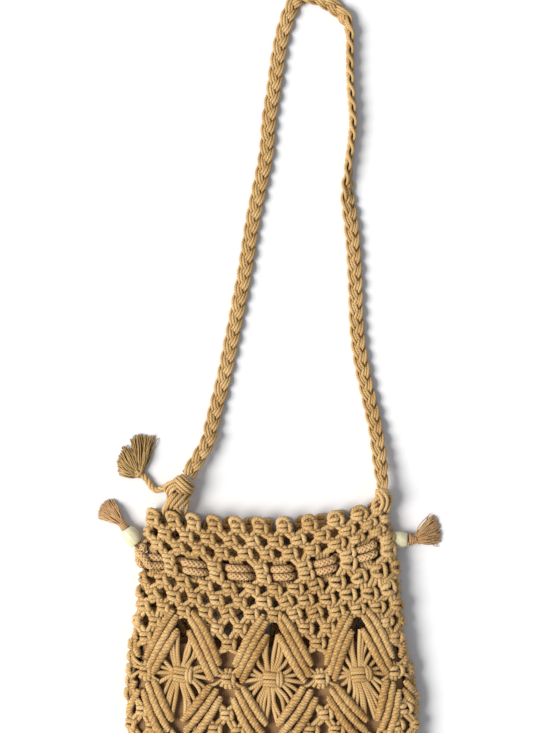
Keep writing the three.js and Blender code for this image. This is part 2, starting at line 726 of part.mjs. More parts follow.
function strap_solid() {
  const route = new THREE.CatmullRomCurve3(strap_route.map((row) => new THREE.Vector3(
    strap_start.x + row.across * strap_spread,
    strap_start.y + row.up * strap_reach,
    Math.max(strap_half_height(row.turn), row.lift * bag_thickness))), false, "centripetal");
  const turns = new THREE.CatmullRomCurve3(
    strap_route.map((row) => new THREE.Vector3(row.turn, 0, 0)), false, "centripetal");
  const points = [];
  const twists = [];
  for (let i = 0; i <= strap_steps; i += 1) {
    const t = route.getUtoTmapping(i / strap_steps);
    const place = route.getPoint(t);
    const knot = t * (strap_route.length - 1);
    const k = Math.min(Math.floor(knot), strap_route.length - 2);
    const turn = THREE.MathUtils.lerp(strap_route[k].turn, strap_route[k + 1].turn, knot - k);
    place.z = Math.max(place.z, strap_half_height(turn));
    points.push(place);
    twists.push((turn * Math.PI) / 2);
  }
  return loft(along(points, () => [strap_width / 2, strap_thickness / 2], (i) => twists[i]), 8);
}

// A round wrapped knot of a given size
function knot_solid(place, size, turn = 0) {
  const geometry = new THREE.SphereGeometry(0.5, 10, 6);
  geometry.scale(size.x, size.y, size.z);
  geometry.rotateZ(turn);
  geometry.translate(place.x, place.y, place.z);
  return geometry_to_solid(geometry);
}

const left_knot_place = new THREE.Vector3(left_knot_x, 158.8, 13.5);
const right_knot_place = new THREE.Vector3(right_knot_x, 156, 13.5);

function left_knot_solid() {
  const wrapped = knot_solid(left_knot_place, new THREE.Vector3(strap_knot_width, strap_knot_depth, strap_knot_height));
  const sinnet_place = new THREE.Vector3(left_knot_place.x - 5, left_knot_place.y - 13, 18);
  return wrapped.add(knot_solid(sinnet_place, new THREE.Vector3(22, 18, 14)));
}

function right_knot_solid() {
  return knot_solid(right_knot_place, new THREE.Vector3(15, 19, 16));
}

// The strap's tail: a short cord from the left knot to a knot of its own, which holds a spread tassel
const tail_points = [
  [-12, 158.5, 10], [-17.5, 155, 7.4], [-23.8, 153.2, 4.6], [-28.5, 156.2, 3.4], [-32.3, 162, 3.4],
  [-36.7, 166.9, 4],
].map(([beside_knot, y, z]) => new THREE.Vector3(left_knot_x + beside_knot, y, z));
const tail_knot_place = new THREE.Vector3(left_knot_x - 41.5, 169.4, tail_knot_size / 2);
const tail_fan = [
  { turn: 66, reach: 1.02 }, { turn: 84, reach: 1.06 }, { turn: 102, reach: 1.0 },
  { turn: 128, reach: 0.86 }, { turn: 146, reach: 0.74 }, { turn: 168, reach: 0.56 },
];

function tail_cord_solid() {
  const route = new THREE.CatmullRomCurve3(tail_points, false, "centripetal");
  const radius = tail_diameter / 2;
  return loft(along(route.getSpacedPoints(8), () => [radius, radius]), 8);
}

function tail_tassel_solid() {
  const size = tail_knot_size;
  const pieces = [knot_solid(tail_knot_place, new THREE.Vector3(size, size, size))];
  for (const { turn, reach } of tail_fan) {
    const a = THREE.MathUtils.degToRad(turn);
    const length = reach * tail_tassel_length;
    const root = tail_knot_place.clone().add(new THREE.Vector3(Math.cos(a), Math.sin(a), 0).multiplyScalar(2));
    const tip = tail_knot_place.clone().add(new THREE.Vector3(Math.cos(a), Math.sin(a), 0).multiplyScalar(length));
    tip.z = 2.4;
    pieces.push(lock_solid(root, tip, 4.4, 6.4, 4));
  }
  return pieces.reduce((all, piece) => all.add(piece));
}

const left_lead = [
  (way) => bead_point(left_bead, -bead_length / 2 - 7, 3.1 * way).setZ(18.6),
  (way) => on_bag(left_window - 0.14 * way, drawstring_down - drawstring_spacing / 2 / bag_height, -4.6),
  (way) => on_bag(left_window - 0.22 * way, drawstring_down + drawstring_spacing / 2 / bag_height, -1.6),
];
const right_lead = [];

const group = new THREE.Group();
group.add(mesh_of("macrame_net", macrame_solid(), cotton, 0.9));
group.add(mesh_of("lining_pouch", lining_solid(), lining_cloth, 0.85));
group.add(mesh_of("drawstring_left", drawstring_solid(left_bead, 1.26, 24.74, 1, left_lead), rose_cotton, 0.85));
group.add(mesh_of("drawstring_right", drawstring_solid(right_bead, 13.59, 36.41, -1, right_lead), rose_cotton, 0.85));
group.add(mesh_of("bead_left", bead_solid(left_bead), cream_wood, 0.45));
group.add(mesh_of("bead_right", bead_solid(right_bead), cream_wood, 0.45));
group.add(mesh_of("cord_tassel_left", cord_tassel_solid(left_bead, left_fan), rose_cotton, 0.9));
group.add(mesh_of("cord_tassel_right", cord_tassel_solid(right_bead, right_fan), rose_cotton, 0.9));
group.add(mesh_of("strap", strap_solid(), cotton, 0.9));
group.add(mesh_of("strap_knot_left", left_knot_solid(), cotton, 0.9));
group.add(mesh_of("strap_knot_right", right_knot_solid(), cotton, 0.9));
group.add(mesh_of("tail_cord", tail_cord_solid(), cotton, 0.9));
group.add(mesh_of("tail_tassel", tail_tassel_solid(), cotton, 0.9));

export default group;
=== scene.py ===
"""A soft cotton macrame bag on a pale floor, seen from straight above. Its cords, plait, beads, tassels
and lining are laid over the CAD solids, in the same frame. Sizes are millimetres, and metres in meshes."""
import math
import random

import bpy
import numpy as np
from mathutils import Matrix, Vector


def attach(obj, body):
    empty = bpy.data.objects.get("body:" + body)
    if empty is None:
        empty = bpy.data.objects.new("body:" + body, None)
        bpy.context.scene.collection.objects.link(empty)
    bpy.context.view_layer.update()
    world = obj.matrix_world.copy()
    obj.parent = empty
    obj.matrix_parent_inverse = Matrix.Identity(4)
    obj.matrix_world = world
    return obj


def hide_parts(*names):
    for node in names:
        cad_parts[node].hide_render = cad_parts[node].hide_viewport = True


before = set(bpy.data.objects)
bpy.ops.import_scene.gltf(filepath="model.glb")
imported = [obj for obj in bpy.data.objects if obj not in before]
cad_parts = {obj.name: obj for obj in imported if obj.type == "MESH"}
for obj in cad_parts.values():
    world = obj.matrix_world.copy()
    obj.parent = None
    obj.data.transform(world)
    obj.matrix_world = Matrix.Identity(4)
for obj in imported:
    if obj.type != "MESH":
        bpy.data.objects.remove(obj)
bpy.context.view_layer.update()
MM = 0.001

# Camera. It looks straight down from far away. A pixel of the photograph is 0.95 mm at the height of the
# bag's front, 22 mm over the floor, and the picture is 733 pixels tall.
pixel = 0.95
picture_height = 733 * pixel
front_height = 22
camera_height = 3400
sensor = 36
look_at = (4.75, 271.2)
camera = bpy.data.objects.new("camera", bpy.data.cameras.new("camera"))
bpy.context.collection.objects.link(camera)
camera.data.sensor_width = sensor
camera.data.lens = sensor * (camera_height - front_height) / picture_height
camera.data.clip_end = 50
camera.location = Vector((look_at[0], look_at[1], camera_height)) * MM
bpy.context.scene.camera = camera


# Cord. The bag is knotted from soft twisted cotton cord. It is drawn 5 mm thick, because it fluffs and
# spreads in the knots. Every cord is a smooth path that a small tree sweeps into a tube, with the angle
# round it and the length along it kept for its twist.
def spline(points, step):
    """A smooth path through the points, cut into steps of about that length."""
    p = np.asarray(points, float)
    p = np.concatenate([[2 * p[0] - p[1]], p, [2 * p[-1] - p[-2]]])
    out = []
    for i in range(1, len(p) - 2):
        a, b, c, d = p[i - 1], p[i], p[i + 1], p[i + 2]
        n = max(1, int(round(np.linalg.norm(c[:3] - b[:3]) / step)))
        t = (np.arange(n) / n)[:, None]
        out.append(0.5 * (2 * b + (c - a) * t + (2 * a - 5 * b + 4 * c - d) * t**2
                          + (3 * b - a - 3 * c + d) * t**3))
    out.append(p[-2][None])
    return np.concatenate(out)


def linear(code):
    """A hex colour of the picture as the linear numbers that shaders use."""
    values = [int(code[i:i + 2], 16) / 255 for i in (1, 3, 5)]
    return tuple(v / 12.92 if v <= 0.04045 else ((v + 0.055) / 1.055) ** 2.4 for v in values) + (1,)


def add(tree, kind, links=None, **settings):
    """One node with its settings, and its inputs set to values or linked to other nodes' outputs."""
    made = tree.nodes.new(kind)
    for key, value in settings.items():
        setattr(made, key, value)
    for key, value in (links or {}).items():
        if isinstance(value, bpy.types.NodeSocket):
            tree.links.new(value, made.inputs[key])
        else:
            made.inputs[key].default_value = value
    return made


def tube_tree():
    """The tree that sweeps a round tube along every edge path of a mesh, thick as each point says."""
    tree = bpy.data.node_groups.new("tube along cords", "GeometryNodeTree")
    face = tree.interface
    face.new_socket("Geometry", in_out="INPUT", socket_type="NodeSocketGeometry")
    face.new_socket("Sides", in_out="INPUT", socket_type="NodeSocketInt")
    face.new_socket("Finish", in_out="INPUT", socket_type="NodeSocketMaterial")
    face.new_socket("Geometry", in_out="OUTPUT", socket_type="NodeSocketGeometry")
    start, end = add(tree, "NodeGroupInput"), add(tree, "NodeGroupOutput")
    curve = add(tree, "GeometryNodeMeshToCurve", {"Mesh": start.outputs["Geometry"]})
    thick = add(tree, "GeometryNodeInputNamedAttribute", {"Name": "thick"}, data_type="FLOAT")
    along = add(tree, "GeometryNodeSplineParameter")
    kept = add(tree, "GeometryNodeStoreNamedAttribute",
               {"Geometry": curve.outputs["Curve"], "Name": "along", "Value": along.outputs["Length"]},
               data_type="FLOAT", domain="POINT")
    ring = add(tree, "GeometryNodeCurvePrimitiveCircle",
               {"Resolution": start.outputs["Sides"], "Radius": 1.0})
    turn = add(tree, "GeometryNodeSplineParameter")
    ring_kept = add(tree, "GeometryNodeStoreNamedAttribute",
                    {"Geometry": ring.outputs["Curve"], "Name": "turn", "Value": turn.outputs["Factor"]},
                    data_type="FLOAT", domain="POINT")
    swept = add(tree, "GeometryNodeCurveToMesh",
                {"Curve": kept.outputs[0], "Profile Curve": ring_kept.outputs[0],
                 "Scale": thick.outputs["Attribute"], "Fill Caps": True})
    smooth = add(tree, "GeometryNodeSetShadeSmooth", {"Geometry": swept.outputs["Mesh"]})
    real = add(tree, "GeometryNodeRealizeInstances", {"Geometry": smooth.outputs["Geometry"]})
    finish = add(tree, "GeometryNodeSetMaterial",
                 {"Geometry": real.outputs["Geometry"], "Material": start.outputs["Finish"]})
    tree.links.new(finish.outputs["Geometry"], end.inputs["Geometry"])
    return tree


tubes = tube_tree()
cord_radius = 2.5


def plain_mesh(source, name):
    """The evaluated mesh of an object with live modifiers, as a new object that stands by itself."""
    seen = source.evaluated_get(bpy.context.evaluated_depsgraph_get())
    mesh = bpy.data.meshes.new_from_object(seen)
    mesh.name = name
    made = bpy.data.objects.new(name, mesh)
    bpy.context.collection.objects.link(made)
    bpy.data.objects.remove(source)
    return made


def cord_piece(name, paths, finish, sides=6):
    """One mesh of all the tubes along the paths. A path is points in mm, with a thickness for each."""
    points = np.concatenate([p[:, :3] for p in paths]) * MM
    radii = np.concatenate([p[:, 3] for p in paths]) * MM
    # no cord reaches under the floor
    points[:, 2] = np.maximum(points[:, 2], radii + 0.05 * MM)
    tones = np.concatenate([np.full(len(p), (0.37 + 0.6180339 * i) % 1) for i, p in enumerate(paths)])
    edges, first = [], 0
    for p in paths:
        steps = np.arange(first, first + len(p) - 1)
        edges.append(np.stack([steps, steps + 1], 1))
        first += len(p)
    mesh = bpy.data.meshes.new(name + " paths")
    mesh.from_pydata(points.tolist(), np.concatenate(edges).tolist(), [])
    for label, values in (("thick", radii), ("tone", tones)):
        layer = mesh.attributes.new(label, "FLOAT", "POINT")
        layer.data.foreach_set("value", values.astype(np.float32))
    source = bpy.data.objects.new(name + " paths", mesh)
    bpy.context.collection.objects.link(source)
    modifier = source.modifiers.new("tubes", "NODES")
    modifier.node_group = tubes
    inputs = {s.name: s.identifier for s in tubes.interface.items_tree if s.in_out == "INPUT"}
    modifier[inputs["Sides"]] = sides
    modifier[inputs["Finish"]] = finish
    made = plain_mesh(source, name)
    turn, along = np.zeros((2, len(made.data.vertices)), np.float32)
    made.data.attributes["turn"].data.foreach_get("value", turn)
    made.data.attributes["along"].data.foreach_get("value", along)
    both = np.stack([np.cos(2 * math.pi * turn), np.sin(2 * math.pi * turn), along], 1)
    made.data.attributes.remove(made.data.attributes["turn"])
    layer = made.data.attributes.new("cord", "FLOAT_VECTOR", "POINT")
    layer.data.foreach_set("vector", both.astype(np.float32).ravel())
    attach(made, "root")
    return made


def cotton(name, light, mid, dark, plies, lay, depth, painted_crease_shade="#3a1c02"):
    """Spun cotton: raised plies, a little fuzz and uneven dye, with painted shade in the lines between the
    plies and painted shade in the creases between cords.
    lay is the length of one full turn of the plies, and depth how far they stand out, both in mm."""
    material = bpy.data.materials.new(name)
    material.use_nodes = True
    tree = material.node_tree
    shader = tree.nodes["Principled BSDF"]
    place = add(tree, "ShaderNodeAttribute", attribute_name="cord")
    parts = add(tree, "ShaderNodeSeparateXYZ", {0: place.outputs["Vector"]})
    angle = add(tree, "ShaderNodeMath", {0: parts.outputs["Y"], 1: parts.outputs["X"]},
                operation="ARCTAN2")
    round_it = add(tree, "ShaderNodeMath", {0: angle.outputs[0], 1: float(plies)}, operation="MULTIPLY")
    along = add(tree, "ShaderNodeMath", {0: parts.outputs["Z"], 1: 2 * math.pi * plies / (lay * MM)},
                operation="MULTIPLY")
    wave = add(tree, "ShaderNodeMath", {0: round_it.outputs[0], 1: along.outputs[0]}, operation="ADD")
    ply = add(tree, "ShaderNodeMath", {0: wave.outputs[0]}, operation="COSINE")
    # short fibres about 1 mm apart, and patches of dye about 26 mm wide
    object_place = add(tree, "ShaderNodeTexCoord")
    fibre = add(tree, "ShaderNodeTexNoise", {"Vector": object_place.outputs["Object"], "Scale": 900.0,
                                             "Detail": 3.0, "Roughness": 0.6})
    patch = add(tree, "ShaderNodeTexNoise", {"Vector": object_place.outputs["Object"], "Scale": 38.0,
                                             "Detail": 2.0})
    tone = add(tree, "ShaderNodeAttribute", attribute_name="tone")
    # painted shade: the colour is darker in the grooves between the plies
    level = add(tree, "ShaderNodeMath", {0: ply.outputs[0], 1: 0.09, 2: 0.36}, operation="MULTIPLY_ADD")
    fuzzy = add(tree, "ShaderNodeMath", {0: fibre.outputs["Fac"], 1: 0.34, 2: level.outputs[0]},
                operation="MULTIPLY_ADD")
    patchy = add(tree, "ShaderNodeMath", {0: patch.outputs["Fac"], 1: 0.34, 2: fuzzy.outputs[0]},
                 operation="MULTIPLY_ADD")
    toned = add(tree, "ShaderNodeMath", {0: tone.outputs["Fac"], 1: 0.12, 2: patchy.outputs[0]},
                operation="MULTIPLY_ADD")
    ramp = add(tree, "ShaderNodeValToRGB", {"Fac": toned.outputs[0]})
    ramp.color_ramp.elements[0].position = 0.35
    ramp.color_ramp.elements[0].color = linear(dark)
    ramp.color_ramp.elements[1].position = 0.95
    ramp.color_ramp.elements[1].color = linear(light)
    ramp.color_ramp.elements.new(0.66).color = linear(mid)
    # painted shade: the colour is darkened towards the crease colour between the cords, within 7.5 mm of
    # each other
    open_sky = add(tree, "ShaderNodeAmbientOcclusion", {"Distance": 7.5 * MM}, samples=6)
    shaded = add(tree, "ShaderNodeMapRange", {"Value": open_sky.outputs["AO"], "From Min": 0.12,
                                              "From Max": 0.84, "To Min": 0.0, "To Max": 1.0})
    colour = add(tree, "ShaderNodeMix",
                 {0: shaded.outputs[0], 6: linear(painted_crease_shade), 7: ramp.outputs["Color"]}, data_type="RGBA")
    tree.links.new(colour.outputs[2], shader.inputs["Base Color"])
    height = add(tree, "ShaderNodeMath", {0: fibre.outputs["Fac"], 1: 0.35, 2: ply.outputs[0]},
                 operation="MULTIPLY_ADD")
    bump = add(tree, "ShaderNodeBump", {"Height": height.outputs[0], "Strength": 0.8,
                                        "Distance": depth * MM})
    tree.links.new(bump.outputs["Normal"], shader.inputs["Normal"])
    shader.inputs["Roughness"].default_value = 0.86
    shader.inputs["Specular IOR Level"].default_value = 0.10
    shader.inputs["Sheen Weight"].default_value = 0.07
    shader.inputs["Sheen Roughness"].default_value = 0.45
    return material


cord_finish = cotton("twisted cotton, honey", "#e8c68f", "#bf965d", "#744b1c", 3, 8.0, 0.08)


# The tail cord: what is left of the strap's cords beyond its left knot, a short soft rope of three
# strands. It ends in a knot of its own, and its frayed threads are spread on the floor as a tassel.
tail_exit = (-96.5, 158.5, 10)
tail_route = [(-92.8, 160.2, 11), tail_exit, (-102, 155, 7.4), (-108.3, 153.2, 4.6), (-113, 156.2, 3.4),
              (-116.8, 162, 3.4), (-121.2, 166.9, 4), (-124, 169, 4.4)]
tail_lay, tail_strand_offset, tail_strand_radius = 17, 1.5, 1.68


def sideways(path, lead=(0, 0, 1)):
    """Two directions square to a path at each of its points, the first of them kept close to a lead."""
    tangent = np.gradient(path, axis=0)
    tangent /= np.linalg.norm(tangent, axis=1)[:, None]
    lead = np.broadcast_to(np.asarray(lead, float), path.shape)
    first = lead - (lead * tangent).sum(1)[:, None] * tangent
    first /= np.linalg.norm(first, axis=1)[:, None]
    return tangent, first, np.cross(tangent, first)


def run_length(path):
    """The length along a path at each of its points."""
    return np.concatenate([[0], np.cumsum(np.linalg.norm(np.diff(path[:, :3], axis=0), axis=1))])


def wound(path, lay, offset, start, thickness, lead=(0, 0, 1), squash=1.0):
    """A cord wound round a path in turns of one lay, at a distance, from a starting angle."""
    _, first, second = sideways(path, lead)
    angle = 2 * math.pi * run_length(path) / lay + start
    ring = np.cos(angle)[:, None] * first * squash + np.sin(angle)[:, None] * second
    return np.concatenate([path + offset * ring, np.full((len(path), 1), thickness)], 1)


tail_line = spline(tail_route, 1.2)
tail_strands = [wound(tail_line, tail_lay, tail_strand_offset, k * 2 * math.pi / 3, tail_strand_radius)
                for k in range(3)]
tail_cord = cord_piece("tail_rope", tail_strands, cord_finish, sides=8)
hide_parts("tail_cord")


def ball_of_cord(centre, size, ways, thickness, turns, seed):
    """A tight knot seen from outside: cord wound over an egg shape in several directions."""
    dice = random.Random(seed)
    centre, size = np.array(centre, float), np.array(size, float) / 2 - thickness
    paths = []
    for way in ways:
        axis = np.array(way, float) / np.linalg.norm(way)
        side = np.cross(axis, (0.3, 0.2, 1.0))
        side /= np.linalg.norm(side)
        other = np.cross(axis, side)
        t = np.linspace(0, 1, int(26 * turns))
        angle = 2 * math.pi * turns * t + dice.random() * 6
        height = (t * 2 - 1) * min(0.92, turns * thickness / size.min())
        ring = np.sqrt(np.clip(1 - height**2, 0.05, 1))
        place = (axis * height[:, None] + ring[:, None] * (np.cos(angle)[:, None] * side
                                                            + np.sin(angle)[:, None] * other))
        path = centre + place * size
        paths.append(np.concatenate([path, np.full((len(path), 1), thickness)], 1))
    return paths


def tassel_threads(root, fan, length, low, count, thickness, seed, spread, height):
    """Threads from a root, fanned over the floor. fan holds (degrees, reach) from one side to the other."""
    dice = random.Random(seed)
    turns = [f[0] for f in fan]
    order = np.argsort(turns)
    turns, reaches = np.array(turns)[order], np.array([f[1] for f in fan])[order]
    paths = []
    for i in range(count):
        share = (i + dice.random()) / count
        turn = turns[0] + (turns[-1] - turns[0]) * share
        reach = float(np.interp(turn, turns, reaches)) * length * (1 - 0.16 * dice.random() ** 2)
        a = math.radians(turn + dice.gauss(0, 2.5))
        way = np.array([math.cos(a), math.sin(a), 0])
        aside = np.array([-way[1], way[0], 0])
        bend, wave = dice.gauss(0, 1.3), dice.gauss(0, 0.5)
        lift = low + dice.random() * height
        start = np.array(root) + aside * (share - 0.5) * 2 * spread
        start = start + np.array([0, 0, dice.uniform(-2.2, 2.2)])
        points = []
        for t in (0, 0.18, 0.42, 0.66, 0.86, 1):
            sway = bend * math.sin(t * 3.0) + wave * math.sin(t * 9 + i)
            place = start + way * reach * t + aside * sway
            arch = lift * math.sin(t * 3.14) * 0.5
            place[2] = (1 - t) * start[2] + t * (low + dice.random() * 2.2) + arch
            points.append(place)
        path = spline(points, 2.4)
        taper = thickness * (1 - 0.35 * np.linspace(0, 1, len(path)) ** 4)
        paths.append(np.concatenate([path, taper[:, None]], 1))
    return paths


# Frayed thread is finer and duller than the cord it came from.
thread_finish = cotton("frayed cotton thread, golden", "#dbba84", "#b99258", "#6d4c22", 2, 3.0, 0.12)
tail_knot = (-126, 169.4, 4.75)
tail_fan = [(70, 1.2), (76, 1.08), (92, 1.1), (103, 1.0), (107, 0.72), (113, 0.66), (119, 0.88),
            (132, 0.74), (150, 0.64), (172, 0.52)]
tail_paths = ball_of_cord(tail_knot, (11, 10.5, 9.4), [(0.8, 0.6, 0.2), (-0.5, 0.8, 0.5)], 1.7, 2.2, 3)
tail_paths += tassel_threads(tail_knot, tail_fan, 34, 0.8, 210, 0.62, 5, 3.4, 11)
tail_tassel = cord_piece("tail_threads", tail_paths, thread_finish, sides=5)
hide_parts("tail_tassel")


# The bag's form. The bag is a slack tube of knotted cord, pressed flat on its back. A place on it is a
# column round the bag (0 to 24), how far down it lies (0 at the rim, 1 at the bottom) and a depth inwards.
bag_width = 281
bag_height = 271
bag_thickness = 34
rim_above_origin = 126
bag_centre_x = 2
columns = 24
arch_power = 2.5
side_height_share = 0.42
back_sag = 0.008
# down, left, right, thickness, rise at the left edge, rise at the right edge
levels = np.array([
    (-0.03, -0.431, 0.380, 0.70, 0.038, 0.062), (0.00, -0.432, 0.384, 0.74, 0.038, 0.066),
    (0.09, -0.435, 0.398, 0.84, 0.040, 0.088), (0.19, -0.442, 0.421, 0.92, 0.044, 0.108),
    (0.30, -0.462, 0.441, 0.98, 0.032, 0.040), (0.42, -0.476, 0.452, 1.00, 0.030, 0.028),
    (0.56, -0.486, 0.474, 1.00, 0.034, 0.034), (0.68, -0.496, 0.496, 0.97, 0.026, 0.026),
    (0.79, -0.499, 0.501, 0.90, 0.018, 0.018), (0.88, -0.495, 0.495, 0.76, 0.012, 0.012),
    (0.95, -0.482, 0.482, 0.60, 0.010, 0.010), (1.00, -0.462, 0.462, 0.42, 0.008, 0.008)])
# down, then the places of columns 0, 2, 4, 6, 8, 10 and 12, as shares of the front
column_places = np.array([
    (0.00, -0.104, 0.072, 0.239, 0.420, 0.625, 0.841, 1.020),
    (0.19, -0.052, 0.119, 0.291, 0.472, 0.635, 0.804, 0.959),
    (0.34, 0.042, 0.190, 0.347, 0.517, 0.667, 0.819, 0.965),
    (0.56, 0.069, 0.188, 0.353, 0.500, 0.677, 0.807, 0.927),
    (0.79, 0.062, 0.179, 0.341, 0.497, 0.668, 0.846, 0.947),
    (1.00, 0.062, 0.182, 0.341, 0.497, 0.660, 0.826, 0.940)])


def smooth_rows(rows, at):
    """The rows of a table read between its first column's values, along smooth curves."""
    x, y = rows[:, 0], rows[:, 1:]
    at = min(max(at, x[0]), x[-1])
    i = min(max(int(np.searchsorted(x, at)) - 1, 0), len(x) - 2)
    low, high = max(i - 1, 0), min(i + 2, len(x) - 1)
    span = x[i + 1] - x[i]
    slope_a = (y[i + 1] - y[low]) / (x[i + 1] - x[low]) * span
    slope_b = (y[high] - y[i]) / (x[high] - x[i]) * span
    t = (at - x[i]) / span
    return ((2 * t**3 - 3 * t**2 + 1) * y[i] + (t**3 - 2 * t**2 + t) * slope_a
            + (3 * t**2 - 2 * t**3) * y[i + 1] + (t**3 - t**2) * slope_b)


# The form is worked out once on a fine grid, a little past the rim and the bottom.
grid_margin, grid_levels, grid_steps = 0.06, 336, 24
grid_down = np.linspace(-grid_margin, 1 + grid_margin, grid_levels + 1)
grid_column = np.linspace(0, columns, columns * grid_steps + 1)


def bag_level(down):
    """One level of the bag: surface points and inward directions at the grid's columns, and arc lengths."""
    left, right, thick, left_rise, right_rise = smooth_rows(levels, down)
    left, right, thick = left * bag_width, right * bag_width, thick * bag_thickness
    half, side = (right - left) / 2, thick * side_height_share
    middle = bag_centre_x + (left + right) / 2
    angles = np.linspace(math.pi, 0, 241)
    power = 2 / arch_power
    arch = np.stack([half * np.sign(np.cos(angles)) * np.abs(np.cos(angles)) ** power,
                     side + (thick - side) * np.abs(np.sin(angles)) ** power], 1)
    turn = np.linspace(0, math.pi / 2, 33)[1:]
    right_corner = np.stack([half - side + side * np.cos(turn), side - side * np.sin(turn)], 1)
    left_corner = np.stack([-half + side - side * np.sin(turn), side - side * np.cos(turn)], 1)
    outline = np.concatenate([arch, right_corner, left_corner])
    steps = np.concatenate([[0], np.cumsum(np.linalg.norm(np.diff(outline, axis=0), axis=1))])
    front = steps[len(arch) - 1]
    places = smooth_rows(column_places, down) * front
    known = np.concatenate([np.arange(0, 13, 2), [columns]])
    arcs = np.interp(grid_column, known, np.concatenate([places, [places[0] + steps[-1]]]))
    x = np.interp(arcs % steps[-1], steps, outline[:, 0])
    z = np.interp(arcs % steps[-1], steps, outline[:, 1])
    across = x / half
    height = thick - side
    frontness = np.clip((z - side) / height, 0, 1)
    level_rise = left_rise + (right_rise - left_rise) * (across + 1) / 2
    edge_rise = np.where(across < 0, left_rise, right_rise)
    # the back of the rim sags with the front, a little lower
    near_rim = min(max((0.19 - down) / 0.1, 0), 1)
    back_rise = level_rise + (edge_rise * across**2 - back_sag - level_rise) * near_rim
    rise = back_rise + (edge_rise * across**2 - back_rise) * frontness
    place = np.stack([middle + x, rim_above_origin + bag_height * (rise - down), z], 1)
    inward = np.stack([-across, 0 * x, -(z - side) / np.where(z > side, height, side)], 1)
    return place, inward, arcs


bag_levels = [bag_level(d) for d in grid_down]
bag_places = np.stack([v[0] for v in bag_levels])
bag_inwards = np.stack([v[1] for v in bag_levels])
bag_arcs = np.stack([v[2] for v in bag_levels])


def read_grid(grid, column, down):
    """The grid's value at any column and level, by straight steps between its points."""
    a = (np.asarray(column) % columns) * grid_steps
    b = (np.clip(down, -grid_margin, 1 + grid_margin) + grid_margin) / (1 + 2 * grid_margin) * grid_levels
    i = np.minimum(a.astype(int), columns * grid_steps - 1)
    j = np.minimum(b.astype(int), grid_levels - 1)
    s, t = (a - i)[..., None], (b - j)[..., None]
    return ((grid[j, i] * (1 - s) + grid[j, i + 1] * s) * (1 - t)
            + (grid[j + 1, i] * (1 - s) + grid[j + 1, i + 1] * s) * t)


def on_bag(column, down, depth):
    """Points in the bag's frame, in millimetres, from columns, levels and depths."""
    return (read_grid(bag_places, column, down)
            + read_grid(bag_inwards, column, down) * np.asarray(depth)[..., None])


def column_pitch(column, down):
    """The width of one column at a place of the bag, in millimetres."""
    reach = 0.3
    a = read_grid(bag_arcs[..., None], np.asarray(column) - reach, down)[..., 0]
    b = read_grid(bag_arcs[..., None], np.asarray(column) + reach, down)[..., 0]
    round_bag = np.interp(down, grid_down, bag_arcs[:, -1] - bag_arcs[:, 0])
    return ((b - a) % round_bag) / (2 * reach)


# The net. Every cord runs from the rim to the diamonds, or from the diamonds to the bottom, through square
# knots: two working cords tied round two straight ones, each knot half a column from the next row's.
random.seed(7)
bar_depth = 1.9
back_radius = 2.9
# The strands of one knot, seen from outside: millimetres right of its middle, below it and into the wall.
working_right = [(4.1, -3.5, 5.4), (2.7, -2.45, 2.6), (0, -2.2, 1.2), (-2.4, -2.2, 1.9), (-3.9, -1.3, 4.2),
                 (-4.2, 0, 5.4), (-3.9, 1.3, 4.2), (-2.4, 2.2, 1.9), (0, 2.2, 1.2), (2.7, 2.45, 2.6),
                 (4.1, 3.5, 5.4)]
working_left = [(-4.2, -3.3, 4.6), (-3.3, -1.9, 5.2), (0, -1.8, 7.6), (3.2, -2.4, 6.4), (5.1, -3.4, 3.5),
                (5.5, -1.5, 1.7), (5.5, 0, 1.4), (5.5, 1.5, 1.7), (5.1, 3.4, 3.5), (3.2, 2.4, 6.4),
                (0, 1.8, 7.6), (-3.3, 1.9, 5.2), (-4.2, 3.3, 4.6)]
straight = [(1.4, -4.8, 4.3), (1.4, -2.4, 5.1), (1.4, 2.4, 5.1), (1.4, 4.8, 4.3)]
knot_strands = [working_left, [(-x, y, w) for x, y, w in straight], straight, working_right]
# Levels of the knot rows: those above the drawstring, those down to the diamonds, and those below.
drawstring_down = 0.189
upper_rows = [0.030, 0.076, 0.121]
middle_rows = [0.243, 0.288, 0.331]
triangle_rows = [0.384, 0.440]
lower_triangle_rows = [0.690, 0.742]
lower_rows = [0.794, 0.837, 0.880, 0.923]
diamond_centre = 0.5526
diamond_columns = 4
sinnet_step = 4.1 / bag_height
# Hand-made knots differ: in turn (radians), size (a share), and place across and down (mm).
turn_spread, size_spread, across_spread, down_spread = 0.11, 0.04, 0.45, 0.5
knot_size, full_pitch = 1.06, 19


def column_shift(down):
    """The knots drift half a column to the left between the drawstring and the diamonds."""
    return 0.5 * np.clip((0.335 - np.asarray(down)) / (0.335 - 0.2), 0, 1)


knot_turns = {}


def knot_points(knot, down, slot, flatness=1.0):
    """The control points of one strand through a knot: column, level, depth. Each knot is a little off."""
    key = (round(knot * 2) % (2 * columns), round(down * 1000))
    if key not in knot_turns:
        knot_turns[key] = [random.gauss(0, 1) for _ in range(4)]
    shift_x, shift_y, turn, size = knot_turns[key]
    turn, size = turn_spread * turn, knot_size + size_spread * size
    pitch = float(column_pitch(np.array(knot + column_shift(down)), np.array(down)))
    tight = min(1.06, pitch / full_pitch)
    points = []
    for x, y, w in knot_strands[slot]:
        a = (x * math.cos(turn) - y * math.sin(turn)) * size * tight + across_spread * shift_x
        b = (x * math.sin(turn) + y * math.cos(turn)) * size + down_spread * shift_y
        level = down + b / bag_height
        points.append((knot + column_shift(down) + a / pitch, level,
                       bar_depth + (w - bar_depth) * flatness))
    return points


def step_down(knot, slot):
    """Two strands of a knot go to the next row's knot on the left, and two to the one on the right."""
    return (knot - 0.5, slot + 2) if slot < 2 else (knot + 0.5, slot - 2)


